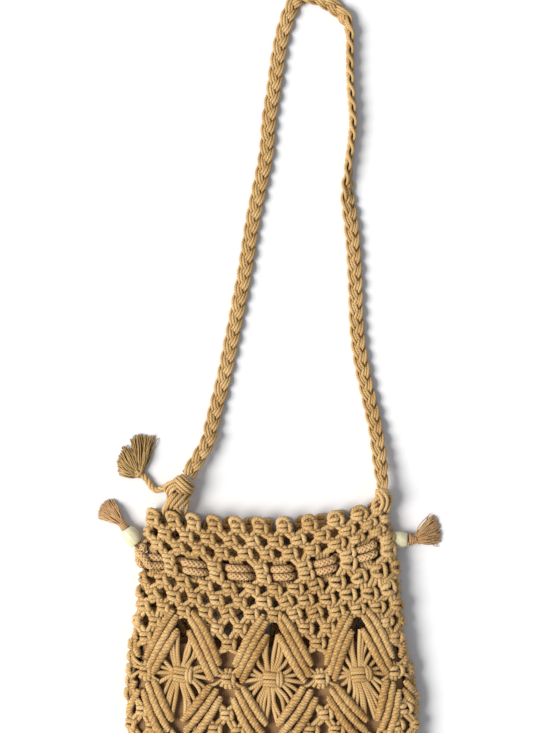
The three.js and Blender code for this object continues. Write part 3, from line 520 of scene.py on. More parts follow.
def behind_drawstring(knot, slot):
    """Strands that are left unknotted cross the drawstrings on the inside."""
    aside = (slot - 1.5) * 3.1
    pitch = float(column_pitch(np.array(knot + 0.5), np.array(drawstring_down)))
    run = ((-13, 5.5, 1.1), (-7.5, 7.6, 1.0), (0, 8.6, 0.95), (7.5, 7.6, 1.0), (12, 5.5, 1.1))
    return [(knot + 0.5 + aside * s / pitch, drawstring_down + y / bag_height, w) for y, w, s in run]


def rim_loop(knot, slot):
    """Above the first row each cord is folded over, which leaves a small loop."""
    side = -1 if slot < 2 else 1
    outer = slot in (0, 3)
    pitch = float(column_pitch(np.array(knot + 0.5), np.array(upper_rows[0])))
    shape = ([(0.2, 8.6, 2.6), (2.6, 8.1, 2.7), (4.6, 6.2, 3.2)] if outer
             else [(0.2, 7.6, 6.2), (1.7, 7.0, 6.0), (2.1, 5.6, 5.2)])
    return [(knot + 0.5 - side * 0.4 / pitch if k == 0 else knot + 0.5 + side * x / pitch,
             upper_rows[0] - y / bag_height, w) for k, (x, y, w) in enumerate(shape)]


def rib_hold(diamond, side, share, way):
    """Where a net cord goes under the outer rib of a diamond. share runs from the corner to the apex."""
    corner, apex = (1.60, 0.058), (0.30, 0.212)
    dx = corner[0] + (apex[0] - corner[0]) * share
    dy = corner[1] + (apex[1] - corner[1]) * share
    return [(diamond + side * dx, diamond_centre - way * dy, 5.2)]


def to_diamond(points, last, knot, slot, rows, way, apex_share, side_shares):
    """A cord's last knots, in the triangle between two diamonds, and its end under an outer rib.
    way is 1 for cords that come from the rim and -1 for those that come from the bottom."""
    if last % diamond_columns == 2:
        side = -1 if knot < last else 1
        return points + rib_hold(last, side, apex_share - 0.08 * (slot % 2), way)
    for row, down in enumerate(rows):
        offset = (knot + 2) % diamond_columns - 2
        if abs(offset) > (0.5, 0.0)[row] + 0.01:
            break
        points += knot_points(knot, down, slot)[::way]
        knot, slot = step_down(knot, slot)
    else:
        row = 2
    offset = (knot + 2) % diamond_columns - 2
    diamond = knot - offset + (2 if offset > 0 else -2)
    side = 1 if offset < 0 else -1
    share = side_shares[row] + 0.07 * ((slot % 2) if offset < 0 else 1 - (slot % 2))
    return points + rib_hold(diamond, side, share, way)


def upper_cord(column, slot):
    """A cord from the rim to the rib of a diamond."""
    knot = float(column)
    points = rim_loop(knot, slot)
    for down in upper_rows:
        points += knot_points(knot, down, slot)
        knot, slot = step_down(knot, slot)
    if round(knot - 1.5) % 2 == 0:
        points += knot_points(knot, drawstring_down - sinnet_step, slot, 0.72)[:-1]
        points += knot_points(knot, drawstring_down + sinnet_step, slot, 0.72)[1:]
    else:
        points += behind_drawstring(knot, slot)
    knot, slot = step_down(knot, slot)
    for down in middle_rows:
        points += knot_points(knot, down, slot)
        last = knot
        knot, slot = step_down(knot, slot)
    return to_diamond(points, last, knot, slot, triangle_rows, 1, 0.93, (0.66, 0.36, 0.08))


def lower_cord(column, slot):
    """A cord from a diamond's lower rib to the bottom, walked from the bottom row upwards."""
    knot = float(column)
    points = []
    for down in reversed(lower_rows):
        points += knot_points(knot, down, slot)[::-1]
        last = knot
        knot, slot = step_down(knot, slot)
    return to_diamond(points, last, knot, slot, lower_triangle_rows[::-1], -1, 0.95, (0.7, 0.4, 0.1))


def laid_on_bag(points, step=1.9, radius=cord_radius):
    """A cord's column, level and depth points as a smooth path in millimetres, with its thickness."""
    c, d, w = np.array(points).T
    path = spline(on_bag(c, d, w), step)
    return np.concatenate([path, np.full((len(path), 1), radius)], 1)


upper_front, upper_back, lower_front, lower_back = [], [], [], []
for column in range(columns):
    front = column <= 11
    for slot in range(4):
        path = laid_on_bag(upper_cord(column, slot), radius=cord_radius if front else back_radius)
        (upper_front if front else upper_back).append(path)
for column in range(columns):
    # the bottom row's knots are half a column off, and their cords end inside the bottom's edge
    for slot in range(4):
        points = lower_cord(column + 0.5, slot)
        across = points[0][0]
        foot = [(across, 1.005, 6.2), (across, 0.985, 5.2), (across, 0.955, 4.9)]
        (lower_front if column < 12 else lower_back).append(laid_on_bag(foot + points))
for label, paths in (("net_upper_front", upper_front), ("net_upper_back", upper_back),
                     ("net_lower_front", lower_front), ("net_lower_back", lower_back)):
    piece = cord_piece(label, paths, cord_finish)
    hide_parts("macrame_net")


# The diamonds. Each side of a diamond is three ribs: a cord held straight, with the others tied closely
# round it one after the other. At its corners the ribs run into square knots that join the diamonds.
rib_radius = 4.4
wrap_radius = 2.3
wrap_pitch = 2.5
front_rib_depth, back_rib_depth = rib_radius - 1.2, rib_radius + 0.2
# The ends of the ribs from the diamond's middle, in columns and shares of the bag's height, outermost
# first, and how far each bows aside, in mm
upper_ribs = [((0.40, 0.219), (1.66, 0.038)), ((0.27, 0.201), (1.56, 0.000)),
              ((0.24, 0.152), (1.36, -0.0175))]
lower_ribs = [((0.46, 0.236), (1.74, 0.072)), ((0.34, 0.200), (1.57, 0.045)),
              ((0.22, 0.166), (1.30, 0.0332))]
rib_bows = (-4.6, -2.6, -0.8)
# Tied tightly, the same cotton shows fewer plies; the lines between its turns are darkened by painted shade
# as well as by real shade.
rib_finish = cotton("wound cotton, honey", "#e3c088", "#b68b52", "#6c4518", 2, 9.0, 0.08)


def straight_on_bag(start, end, depth, bulge=0.0):
    """A run over the bag between two (column, level) places, bowed a little to its side."""
    t = np.linspace(0, 1, 40)
    c = start[0] + (end[0] - start[0]) * t
    d = start[1] + (end[1] - start[1]) * t + bulge / bag_height * np.sin(math.pi * t)
    return on_bag(c, d, np.broadcast_to(depth, t.shape))


def even(path, step):
    """A path cut into even steps."""
    run = run_length(path)
    places = np.linspace(0, run[-1], max(2, int(round(run[-1] / step)) + 1))
    return np.stack([np.interp(places, run, values) for values in path.T], 1)


def reach_aside(diamond, side):
    """The outer halves of the two outer diamonds reach further, round the bag's sides."""
    return 1.2 if (diamond, side) in ((2, -1), (10, 1)) else 1.0


def rib(diamond, ends, side, way, turns_start, bow):
    """One rib: the cord wound in close turns round the line of its held cord, which is not drawn itself."""
    (x0, y0), (x1, y1) = ends
    x0, x1 = x0 * reach_aside(diamond, side), x1 * reach_aside(diamond, side)
    start = (diamond + side * x0, diamond_centre - way * y0)
    end = (diamond + side * x1, diamond_centre - way * y1)
    depth = front_rib_depth if diamond < 12 else back_rib_depth
    line = even(straight_on_bag(start, end, depth, way * bow), wrap_pitch / 8)
    # the turns start from the side that faces out of the bag
    inside = on_bag(np.full(2, (start[0] + end[0]) / 2), np.full(2, (start[1] + end[1]) / 2),
                    np.array([30.0, 30.0]))[0]
    wraps = wound(line, wrap_pitch, rib_radius - wrap_radius, turns_start, wrap_radius,
                  lead=line - inside, squash=0.96)
    # the ends are drawn in where the held cord goes under the next rib
    at = run_length(line)
    end_share = np.clip(np.minimum(at, at[-1] - at) / 4.5, 0, 1)
    drawn_in = 0.5 + 0.5 * np.sqrt(1 - (1 - end_share) ** 2)
    drawn_in = drawn_in * (0.86 + 0.2 * np.sin(math.pi * at / at[-1]))
    uneven = drawn_in * (1 + 0.045 * np.sin(at / 1.9 + turns_start) + 0.03 * np.sin(at / 0.83))
    wraps[:, :3] = line + (wraps[:, :3] - line) * uneven[:, None]
    wraps[:, 3] *= uneven
    return wraps


front_ribs, back_ribs = [], []
for diamond in range(2, columns, diamond_columns):
    kept = front_ribs if diamond < 12 else back_ribs
    for side in (-1, 1):
        for way, ribs in ((1, upper_ribs), (-1, lower_ribs)):
            for k, ends in enumerate(ribs):
                kept.append(rib(diamond, ends, side, way, diamond + 2 * k + side, rib_bows[k]))


def square_knot(column, down, scale, tails, lift=0.0):
    """A knot that stands by itself, with short tails that go under its neighbours."""
    pitch = float(column_pitch(np.array(column), np.array(down)))
    tail_depth = 6.2
    knot = []
    for strand in knot_strands:
        points = [(x * scale, y * scale, w - lift) for x, y, w in strand]
        (x0, y0, _), (x1, y1, _) = points[0], points[-1]
        points = [(x0 * 1.4, y0 - tails, tail_depth)] + points + [(x1 * 1.4, y1 + tails, tail_depth)]
        knot.append(laid_on_bag([(column + x / pitch, down + y / bag_height, w) for x, y, w in points]))
    return knot


corner_knots = []
held_radius = 1.75
for column in range(0, columns, diamond_columns):
    corner_knots += square_knot(column, diamond_centre + 0.008, 1.15, 3.0)
    # the held cords run on from the ribs' ends into the knot, from both sides
    pitch = float(column_pitch(np.array(float(column)), np.array(diamond_centre)))
    for side in (-1, 1):
        for y, rise in ((-9.5, -4.0), (-1.5, -0.6), (8.5, 3.6)):
            run = [(side * 17, y * 1.15, 3.4), (side * 11, y * 0.9, 3.0), (side * 6.0, rise, 3.6),
                   (side * 2.0, rise * 0.6, 5.2)]
            run = [(column + x / pitch, diamond_centre + v / bag_height, w) for x, v, w in run]
            corner_knots.append(laid_on_bag(run, radius=held_radius))
# at the bag's edges more knots fill the space between the front's diamonds and the back's
for column, down in ((-0.80, 0.470), (-0.95, 0.515), (-0.80, 0.560), (-1.05, 0.600), (-0.85, 0.640),
                     (12.85, 0.560), (13.0, 0.605), (12.85, 0.650), (13.0, 0.695)):
    corner_knots += square_knot(column % columns, down, 1.15, 3.0, lift=2.2)


# The big knot in the middle of each diamond. The diamond's cords are gathered from its ribs, tied once as
# a wide square knot with two cords on each side, and spread again to the lower ribs.
gathered_radius = 2.15


def gathered_knot(diamond):
    """The cords of one diamond: those gathered in its middle, its side cords, and the turns round them."""
    pitch = float(column_pitch(np.array(float(diamond)), np.array(diamond_centre)))
    dice = random.Random(diamond)

    def spot(x, y, w):
        return (diamond + x / pitch, diamond_centre + 0.006 + y / bag_height, w)

    def on_rib(ribs, side, way, share):
        (x0, y0), (x1, y1) = ribs[2]
        x0, x1 = x0 * reach_aside(diamond, side), x1 * reach_aside(diamond, side)
        across = side * (x0 + (x1 - x0) * share - 0.04)
        return (diamond + across, diamond_centre - way * (y0 + (y1 - y0) * share), 5.4)

    def half_way(a, b, w, sag=0.0):
        t = 0.55
        return (a[0] * (1 - t) + b[0] * t + sag / pitch, a[1] * (1 - t) + b[1] * t, w)

    paths = []
    for side in (-1, 1):
        # cords from the upper ribs, through the knot, to the lower ribs
        for share, x in ((0.03, 1.5), (0.15, 3.0), (0.29, 4.6), (0.46, 6.4)):
            share += dice.gauss(0, 0.025)
            top, foot = on_rib(upper_ribs, side, 1, share), on_rib(lower_ribs, side, -1, share + 0.04)
            upper, lower = spot(side * x, -8.0, 3.2), spot(side * x, 8.2, 3.2)
            above = half_way(top, upper, 3.2 + 2 * dice.random(), dice.gauss(0, 1.2))
            below = half_way(foot, lower, 3.2 + 2 * dice.random(), dice.gauss(0, 1.2))
            paths.append([top, above, upper, spot(side * x * 0.9, -4, 4.9), spot(side * x * 0.85, 0, 5.2),
                          spot(side * x * 0.9, 4, 4.9), lower, below, foot])
        # cords from the ribs' outer parts into the knot's sides
        for ribs, way, share, y in ((upper_ribs, 1, 0.66, -4.6), (upper_ribs, 1, 0.82, -2.6),
                                    (upper_ribs, 1, 0.98, -0.8), (lower_ribs, -1, 0.88, 1.8),
                                    (lower_ribs, -1, 0.68, 4.4)):
            share += dice.gauss(0, 0.02)
            end = on_rib(ribs, side, way, share)
            near = spot(side * 9.6, y * 0.9, 3.4)
            paths.append([end, half_way(end, near, 3.2 + 2 * dice.random(), dice.gauss(0, 1)), near,
                          spot(side * 6.0, y * 0.6, 4.4), spot(side * 2.0, y * 0.5, 6.4)])
    for y in (-5.2, -2.3, 1.9, 4.8):
        paths.append([spot(8.2, y + 0.5, 5.6), spot(6.6, y + 0.6, 3.2), spot(3.6, y + 0.3, 1.3),
                      spot(0, y, 0.8), spot(-3.8, y - 0.2, 1.3), spot(-6.4, y + 0.2, 3.2),
                      spot(-7.6, y + 0.8, 5.8)])
    for x in (6.8, 9.6):
        paths.append([spot(x - 1.6, -7.4, 5.0), spot(x - 0.2, -5.4, 2.4), spot(x, -2.4, 0.9),
                      spot(x, 1.6, 0.9), spot(x - 0.2, 4.6, 2.4), spot(x - 1.4, 6.8, 5.2)])
    return [laid_on_bag(p, radius=gathered_radius) for p in paths]


front_knots = [p for d in (2, 6, 10) for p in gathered_knot(d)]
back_knots = [p for d in (14, 18, 22) for p in gathered_knot(d)]
for label, paths, sides in (("diamond_ribs_front", front_ribs, 6), ("diamond_ribs_back", back_ribs, 5),
                            ("diamond_knots_front", front_knots, 7), ("diamond_knots_back", back_knots, 6),
                            ("corner_knots", corner_knots, 6)):
    piece = cord_piece(label, paths, rib_finish if "ribs" in label else cord_finish, sides=sides)
    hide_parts("macrame_net")


# The bottom edge: one last rib closes the bag. It is wound like the others, and holds the ends of the
# front and back cords.
edge_columns = np.linspace(0.35, 11.65, 160)
edge_down, edge_depth = np.full(160, 0.992), np.full(160, 6.0)
edge_offset, edge_wrap_radius = 2.6, 1.6
edge_line = even((on_bag(edge_columns, edge_down, edge_depth)
                  + on_bag(columns - edge_columns, edge_down, edge_depth)) / 2, wrap_pitch / 8)
edge_turns = wound(edge_line, wrap_pitch, edge_offset, 0, edge_wrap_radius, squash=1.25)
edge = cord_piece("bottom_edge", [edge_turns], rib_finish)
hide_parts("macrame_net")


# The lining: a plain pouch of thin cotton cloth, sewn into the lower part of the bag. Its weave is fine
# and matt, and it hangs slack, so it has long soft folds.
def cloth_finish():
    """Plain-woven cotton, rose tan. Threads cross every 0.5 mm, drawn every 0.9 mm so that they show."""
    material = bpy.data.materials.new("plain-woven cotton, rose tan")
    material.use_nodes = True
    tree = material.node_tree
    shader = tree.nodes["Principled BSDF"]
    place = add(tree, "ShaderNodeTexCoord")
    thread = {"Vector": place.outputs["Object"], "Scale": 1 / (0.9 * MM) / 6.3, "Distortion": 0.6,
              "Detail": 1.0}
    warp = add(tree, "ShaderNodeTexWave", thread, bands_direction="X")
    weft = add(tree, "ShaderNodeTexWave", thread, bands_direction="Y")
    weave = add(tree, "ShaderNodeMath", {0: warp.outputs["Fac"], 1: weft.outputs["Fac"]},
                operation="MAXIMUM")
    shade = add(tree, "ShaderNodeTexNoise",
                {"Vector": place.outputs["Object"], "Scale": 26.0, "Detail": 4.0})
    both = add(tree, "ShaderNodeMath", {0: weave.outputs[0], 1: 0.35, 2: shade.outputs["Fac"]},
               operation="MULTIPLY_ADD")
    ramp = add(tree, "ShaderNodeValToRGB", {"Fac": both.outputs[0]})
    ramp.color_ramp.elements[0].position = 0.35
    ramp.color_ramp.elements[0].color = linear("#775538")
    ramp.color_ramp.elements[1].position = 0.95
    ramp.color_ramp.elements[1].color = linear("#ad865e")
    tree.links.new(ramp.outputs["Color"], shader.inputs["Base Color"])
    bump = add(tree, "ShaderNodeBump",
               {"Height": weave.outputs[0], "Strength": 0.4, "Distance": 0.12 * MM})
    tree.links.new(bump.outputs["Normal"], shader.inputs["Normal"])
    shader.inputs["Roughness"].default_value = 0.88
    shader.inputs["Specular IOR Level"].default_value = 0.15
    shader.inputs["Sheen Weight"].default_value = 0.12
    return material


cloth_columns = 144
cloth_thickness = 0.7
cloth_depth = 11.0
cloth_levels = np.concatenate([np.linspace(0.452, 0.93, 34), [0.955, 0.972]])
cloth_points, cloth_faces = [], []
for row, level in enumerate(cloth_levels):
    c = np.arange(cloth_columns) / cloth_columns * columns
    folds = (0.8 * np.sin(c * 2.3 + 5 * level) * np.sin(c * 0.9 + 1.3)
             + 0.5 * np.sin(c * 5.1 - 9 * level)) * min(1, (0.99 - level) * 4)
    close = max(0.0, (level - 0.93) / 0.042)
    depth = cloth_depth + folds + 3.0 * close
    wavy = level + 0.006 * np.sin(c * 1.7) * (1 - row / len(cloth_levels))
    cloth_points.append(on_bag(c, wavy, np.clip(depth, 9.6, 14.2)))
for row in range(len(cloth_levels) - 1):
    for k in range(cloth_columns):
        a, b = row * cloth_columns + k, row * cloth_columns + (k + 1) % cloth_columns
        cloth_faces.append((a, a + cloth_columns, b + cloth_columns, b))
# the seam along its bottom joins each place on one side to the place across from it
last_row = (len(cloth_levels) - 1) * cloth_columns
for k in range(cloth_columns // 4, cloth_columns * 3 // 4 - 1):
    across = (cloth_columns // 2 - k) % cloth_columns
    beside = (cloth_columns // 2 - k - 1) % cloth_columns
    cloth_faces.append((last_row + k, last_row + across, last_row + beside, last_row + k + 1))
cloth_mesh = bpy.data.meshes.new("lining cloth")
cloth_mesh.from_pydata((np.concatenate(cloth_points) * MM).tolist(), [], cloth_faces)
cloth_mesh.shade_smooth()
cloth_mesh.materials.append(cloth_finish())
lining_source = bpy.data.objects.new("lining cloth source", cloth_mesh)
bpy.context.collection.objects.link(lining_source)
thicken = lining_source.modifiers.new("cloth", "SOLIDIFY")
thicken.thickness = cloth_thickness * MM
thicken.offset = 0
lining = plain_mesh(lining_source, "lining_cloth")
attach(lining, "root")
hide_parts("lining_pouch")


# The drawstrings. Two round braids, eight strands each, weave through the windows of the net: outside it
# between the tall knots, inside behind them. Both ends of each go through one bead.
# The braids are of finer yarn in a rosier tan; the shallow brown lines between their strands are painted
# shade, in a paler crease colour.
rose_cord = cotton("braided cotton, rose", "#e9c691", "#d2a774", "#aa7a49", 2, 3.4, 0.11,
                   painted_crease_shade="#94683e")
track_spacing = 7.1
drawstring_radius = 3.6
outside_depth, inside_depth = 2.6, 10.4
behind_bead = 3.6
knot_steps = [-0.74, -0.41, 0, 0.41, 0.74]
left_bead = {"centre": (-132, 109, 8), "axis": (-0.6, 0.8, 0), "spread": (0.8, 0.6, 0)}
right_bead = {"centre": (122.6, 106, 8), "axis": (1, 0, 0), "spread": (0, 0, 1)}
bead_half = 8.5
end_radius, end_aside = 1.95, 2.07


def bead_point(bead, forward, aside):
    """A point from a bead's middle, forwards along its hole and aside across it."""
    return (np.array(bead["centre"], float) + np.array(bead["axis"]) * forward
            + np.array(bead["spread"]) * aside)


def weave_depth(column):
    """How deep a drawstring lies at a column: outside at odd columns, inside at even ones."""
    if abs((column - 13 + 12) % columns - 12) < 1.2:
        return inside_depth + behind_bead
    wave = min(max(4 * math.cos(math.pi * column), -1), 1)
    return outside_depth + (inside_depth - outside_depth) * (wave + 1) / 2


def drawstring_route(bead, first, last, track, leads):
    """A drawstring's whole route with its half thickness, thinner where two ends share a bead's hole."""
    level = drawstring_down + track * track_spacing / 2 / bag_height
    ends = []
    for way in (-1, 1):
        end = [bead_point(bead, f, way * end_aside) for f in (8, 0, -bead_half, -bead_half - 3)]
        ends.append(end + [lead(way) for lead in leads])
    stations = [knot + s for knot in range(0, int(last) + 2, 2) for s in knot_steps]
    stations = [c for c in stations if first - 0.01 < c < last + 0.01]
    middle = [on_bag(np.array(c), np.array(level), np.array(weave_depth(c))) for c in stations]
    points = ends[0] + middle + ends[1][::-1]
    radii = [end_radius] * 4 + [drawstring_radius] * (len(points) - 8) + [end_radius] * 4
    return even(spline(np.concatenate([np.array(points), np.array(radii)[:, None]], 1), 1.0), 1.0)


def braid(route):
    """A round braid along a route: half of its strands turn each way and pass over and under in turn."""
    strands, lay = 8, 15.0
    _, first, second = sideways(route[:, :3], lead=(0.02, 0.05, 1))
    at = run_length(route)
    paths = []
    for k in range(strands):
        way = 1 if k % 2 else -1
        start = 2 * math.pi * (k // 2) / (strands / 2)
        angle = way * 2 * math.pi * at / lay + start
        # a strand crosses the others' strands twice as often as it turns, over two and under two
        weave = np.cos((strands / 2) * (angle + (0 if way > 0 else math.pi / (strands / 2))))
        distance = route[:, 3] * (0.66 + 0.10 * weave)
        place = route[:, :3] + distance[:, None] * (np.cos(angle)[:, None] * first
                                                    + np.sin(angle)[:, None] * second)
        paths.append(np.concatenate([place, (route[:, 3] * 0.36)[:, None]], 1))
    core = even(route, 4.0)
    core[:, 3] *= 0.62
    return paths + [core]


left_leads = [
    lambda way: np.array([*bead_point(left_bead, -bead_half - 7, 3.1 * way)[:2], 18.6]),
    lambda way: on_bag(np.array(1 - 0.14 * way), np.array(drawstring_down - track_spacing / 2 / bag_height),
                       np.array(-4.6)),
    lambda way: on_bag(np.array(1 - 0.22 * way), np.array(drawstring_down + track_spacing / 2 / bag_height),
                       np.array(-1.6)),
]
for name, bead, first, last, track, leads in (
        ("drawstring_left", left_bead, 1.26, 24.74, 1, left_leads),
        ("drawstring_right", right_bead, 13.59, 36.41, -1, [])):
    piece = cord_piece(name + "_braid", braid(drawstring_route(bead, first, last, track, leads)),
                       rose_cord, sides=5)
    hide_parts(name)


# The beads: turned wood, drilled through and left pale under a thin satin lacquer. Both ends of a
# drawstring go through each.
def bead_finish():
    """Pale turned wood: faint growth rings across the bead, soft satin gloss."""
    material = bpy.data.materials.new("lacquered pale wood")
    material.use_nodes = True
    tree = material.node_tree
    shader = tree.nodes["Principled BSDF"]
    place = add(tree, "ShaderNodeTexCoord")
    grain = add(tree, "ShaderNodeTexWave", {"Vector": place.outputs["Object"], "Scale": 90.0,
                                            "Distortion": 5.0, "Detail": 3.0, "Detail Scale": 2.0},
                bands_direction="DIAGONAL")
    speck = add(tree, "ShaderNodeTexNoise",
                {"Vector": place.outputs["Object"], "Scale": 420.0, "Detail": 3.0})
    both = add(tree, "ShaderNodeMath", {0: speck.outputs["Fac"], 1: 0.4, 2: grain.outputs["Fac"]},
               operation="MULTIPLY_ADD")
    ramp = add(tree, "ShaderNodeValToRGB", {"Fac": both.outputs[0]})
    ramp.color_ramp.elements[0].color = linear("#dcd2a6")
    ramp.color_ramp.elements[1].color = linear("#e9e1be")
    tree.links.new(ramp.outputs["Color"], shader.inputs["Base Color"])
    bump = add(tree, "ShaderNodeBump",
               {"Height": both.outputs[0], "Strength": 0.15, "Distance": 0.1 * MM})
    tree.links.new(bump.outputs["Normal"], shader.inputs["Normal"])
    shader.inputs["Roughness"].default_value = 0.34
    shader.inputs["Coat Weight"].default_value = 0.2
    shader.inputs["Coat Roughness"].default_value = 0.25
    return material


pale_wood = bead_finish()
bead_radius, bead_end_radius, hole_radius = 8.0, 6.2, 4.4


def turned(name, profile, bead, finish):
    """A turned shape on a bead's axis, from a closed profile of (radius, place along the axis)."""
    axis, spread = Vector(bead["axis"]), Vector(bead["spread"])
    other = axis.cross(spread)
    centre = Vector(bead["centre"])
    sides, points, faces = 48, [], []
    for k in range(sides):
        a = 2 * math.pi * k / sides
        way = spread * math.cos(a) + other * math.sin(a)
        points += [tuple((centre + axis * y + way * r) * MM) for r, y in profile]
    n = len(profile)
    for k in range(sides):
        for i in range(n):
            a, b = k * n + i, k * n + (i + 1) % n
            c, d = ((k + 1) % sides) * n + (i + 1) % n, ((k + 1) % sides) * n + i
            faces.append((a, b, c, d))
    mesh = bpy.data.meshes.new(name)
    mesh.from_pydata(points, [], faces)
    mesh.validate()
    mesh.shade_smooth()
    mesh.materials.append(finish)
    made = bpy.data.objects.new(name, mesh)
    bpy.context.collection.objects.link(made)
    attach(made, "root")
    return made


bead_profile = [(hole_radius, -bead_half + 0.5), (hole_radius + 0.5, -bead_half)]
for k in range(17):
    t = k / 8 - 1
    bead_profile.append((bead_end_radius - 0.6 + (bead_radius - bead_end_radius + 0.6) * (1 - t * t) ** 0.8,
                         bead_half * (0.985 * t)))
bead_profile += [(hole_radius + 0.5, bead_half), (hole_radius, bead_half - 0.5)]
for label, bead in (("left", left_bead), ("right", right_bead)):
    piece = turned("turned_bead_" + label, bead_profile[::-1], bead, pale_wood)
    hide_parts("bead_" + label)


# The cord tassels: beyond each bead both cord ends are bound with a few turns of their own thread, and
# their frayed threads spread over the floor.
rose_thread = cotton("frayed cotton thread, rose", "#ecc18e", "#d0a271", "#80532d", 2, 3.0, 0.12)
left_fan = [(-10, 1.0), (2, 1.1), (13, 1.1), (24, 1.02), (34, 0.96)]
right_fan = [(52, 1.2), (41, 1.2), (26, 1.1), (11, 1.05), (-6, 0.96)]
# each binding's swell over its thread at the bead, how much of it is lost along it, and its core's radius
left_binding, right_binding = (4.0, 0.9, 1.0, 3.6), (5.7, 2.4, 0.8, 4.6)
core_end_radius = 2.9
for label, bead, fan, binding_shape, seed in (("left", left_bead, left_fan, left_binding, 11),
                                              ("right", right_bead, right_fan, right_binding, 12)):
    wide, lost, power, core_radius = binding_shape
    around = even(np.array([bead_point(bead, bead_half + f, 0) for f in (1.0, 8.0)]), 0.2)
    swell = wide - lost * np.linspace(0, 1, len(around)) ** power
    binding = wound(around, 1.75, 1.0, 0.5, 0.95, lead=bead["spread"])
    binding[:, :3] = around + (binding[:, :3] - around) * swell[:, None]
    core = even(np.array([bead_point(bead, bead_half + f, 0) for f in (0.6, 9.0)]), 1.0)
    core_radii = np.linspace(core_radius, core_end_radius, len(core))
    paths = [binding, np.concatenate([core, core_radii[:, None]], 1)]
    heading = math.degrees(math.atan2(bead["axis"][1], bead["axis"][0]))
    root = bead_point(bead, bead_half + 7.4, 0)
    paths += tassel_threads(root, [(heading + t, r) for t, r in fan], 24, 0.8, 130, 0.55, seed, 2.4, 6.5)
    piece = cord_piece("thread_tassel_" + label, paths, rose_thread, sides=5)
    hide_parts("cord_tassel_" + label)


# The strap: a flat plait of three strands, three cords each. It lies on the floor in one long loop, and
# stands on its edge for a while on the right, where it turns over.
strap_spread, strap_reach = 182, 456
strap_start = (-75, 169)
strap_width, strap_thickness = 13, 9
# across, up, quarter turns, lift as a share of the bag's thickness
strap_route = [
    (-0.018, -0.003, 0, 0.44), (0.083, 0.065, 0, 0.34), (0.109, 0.106, 0, 0.20), (0.169, 0.200, 0, 0),
    (0.224, 0.308, 0, 0), (0.281, 0.427, 0, 0), (0.318, 0.523, 0, 0), (0.354, 0.594, 0, 0),
    (0.391, 0.667, 0, 0), (0.406, 0.737, 0, 0), (0.437, 0.821, 0, 0), (0.464, 0.894, 0, 0),
    (0.500, 0.950, 0, 0), (0.547, 0.990, 0, 0), (0.615, 1.000, 0, 0), (0.708, 0.987, 0, 0),
    (0.797, 0.958, 0.4, 0), (0.828, 0.925, 0.9, 0), (0.830, 0.869, 1, 0), (0.833, 0.812, 1, 0),
    (0.846, 0.746, 1, 0), (0.840, 0.702, 1, 0), (0.822, 0.642, 1.1, 0), (0.818, 0.581, 1.6, 0),
    (0.840, 0.515, 2, 0), (0.857, 0.423, 2, 0), (0.869, 0.302, 2, 0), (0.897, 0.219, 2, 0),
    (0.935, 0.152, 2, 0), (0.971, 0.080, 2, 0.22), (0.995, -0.005, 2, 0.40), (1.003, -0.034, 2, 0.46)]
strap_rows = []
for across, up, turn, lift in strap_route:
    a = turn * math.pi / 2
    half_height = math.hypot(strap_thickness * math.cos(a), strap_width * math.sin(a)) / 2
    strap_rows.append((strap_start[0] + across * strap_spread, strap_start[1] + up * strap_reach,
                       max(half_height, lift * bag_thickness), a))
strap_line = even(spline(strap_rows, 2.0), 1.6)
strap_way, strap_up, strap_side = sideways(strap_line[:, :3])
strap_turn = strap_line[:, 3:4]
strap_across = -strap_side * np.cos(strap_turn) + strap_up * np.sin(strap_turn)
strap_out = strap_side * np.sin(strap_turn) + strap_up * np.cos(strap_turn)
strap_at = run_length(strap_line[:, :3])
strap_lay, strap_swing, strap_lift = 41.4, 3.35, 2.25
cord_spacing = 2.45
# the plait is drawn together where it goes into the knots
strap_taper = 1 - 0.34 * np.clip((strap_at - strap_at[-1] + 26) / 26, 0, 1) ** 1.5
strand_cord = 1.6
strap_paths = []
for strand in range(3):
    phase = 2 * math.pi * (strap_at / strap_lay + strand / 3)
    across = strap_swing * np.sin(phase)
    lift = strap_lift * np.sin(2 * phase)
    slope = strap_swing * np.cos(phase) * 2 * math.pi / strap_lay
    lean = 1 / np.sqrt(1 + slope**2)
    for k in (-1, 0, 1):
        aside = k * cord_spacing * lean
        back = -k * cord_spacing * slope * lean
        dip = -0.45 * abs(k)
        path = (strap_line[:, :3] + strap_across * ((across + aside) * strap_taper)[:, None]
                + strap_way * back[:, None] + strap_out * ((lift + dip) * strap_taper)[:, None])
        strap_paths.append(np.concatenate([path, (strand_cord * (0.6 + 0.4 * strap_taper))[:, None]], 1))
strap = cord_piece("plaited_strap", strap_paths, cord_finish, sides=6)
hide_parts("strap")


# The knots at the strap's ends. On the left its nine cords are tied in one thick knot, from which they
# run down into the rim. On the right a smaller knot sits on the rim and holds the ends the same way.
left_knot, right_knot = (-84.5, 158.8, 13.5), (107.0, 148, 14)
knot_cord = 1.9
left_ways = [(0.75, 0.65, 0.1), (0.6, 0.75, -0.25)]
right_ways = [(0.2, 1, 0.1), (0.9, 0.4, 0.2), (-0.6, 0.7, 0.3)]
left_paths = ball_of_cord(left_knot, (19, 17, 16), left_ways, knot_cord, 3.2, 4)


def thick_cord(points, thickness):
    """A cord through chosen points, all of one thickness."""
    path = spline(points, 1.6)
    return np.concatenate([path, np.full((len(path), 1), thickness)], 1)


# five turns lie side by side over the knot, from its upper left to its lower right
turn_shape = ((1.0, -13), (0.86, -6.5), (0.5, -1.6), (0, 0), (-0.5, -1.6), (-0.86, -6.5), (-1.0, -13))
for k in range(5):
    shift = (k - 2) * 3.1
    reach = math.sqrt(max(9.8**2 - shift**2, 20))
    middle = np.array([-82.6 + 0.66 * shift, 157.4 + 0.75 * shift, 24.2 - 0.10 * shift**2])
    left_paths.append(thick_cord([middle + np.array([-0.75 * t * reach, 0.66 * t * reach, drop])
                                  for t, drop in turn_shape], 1.85))
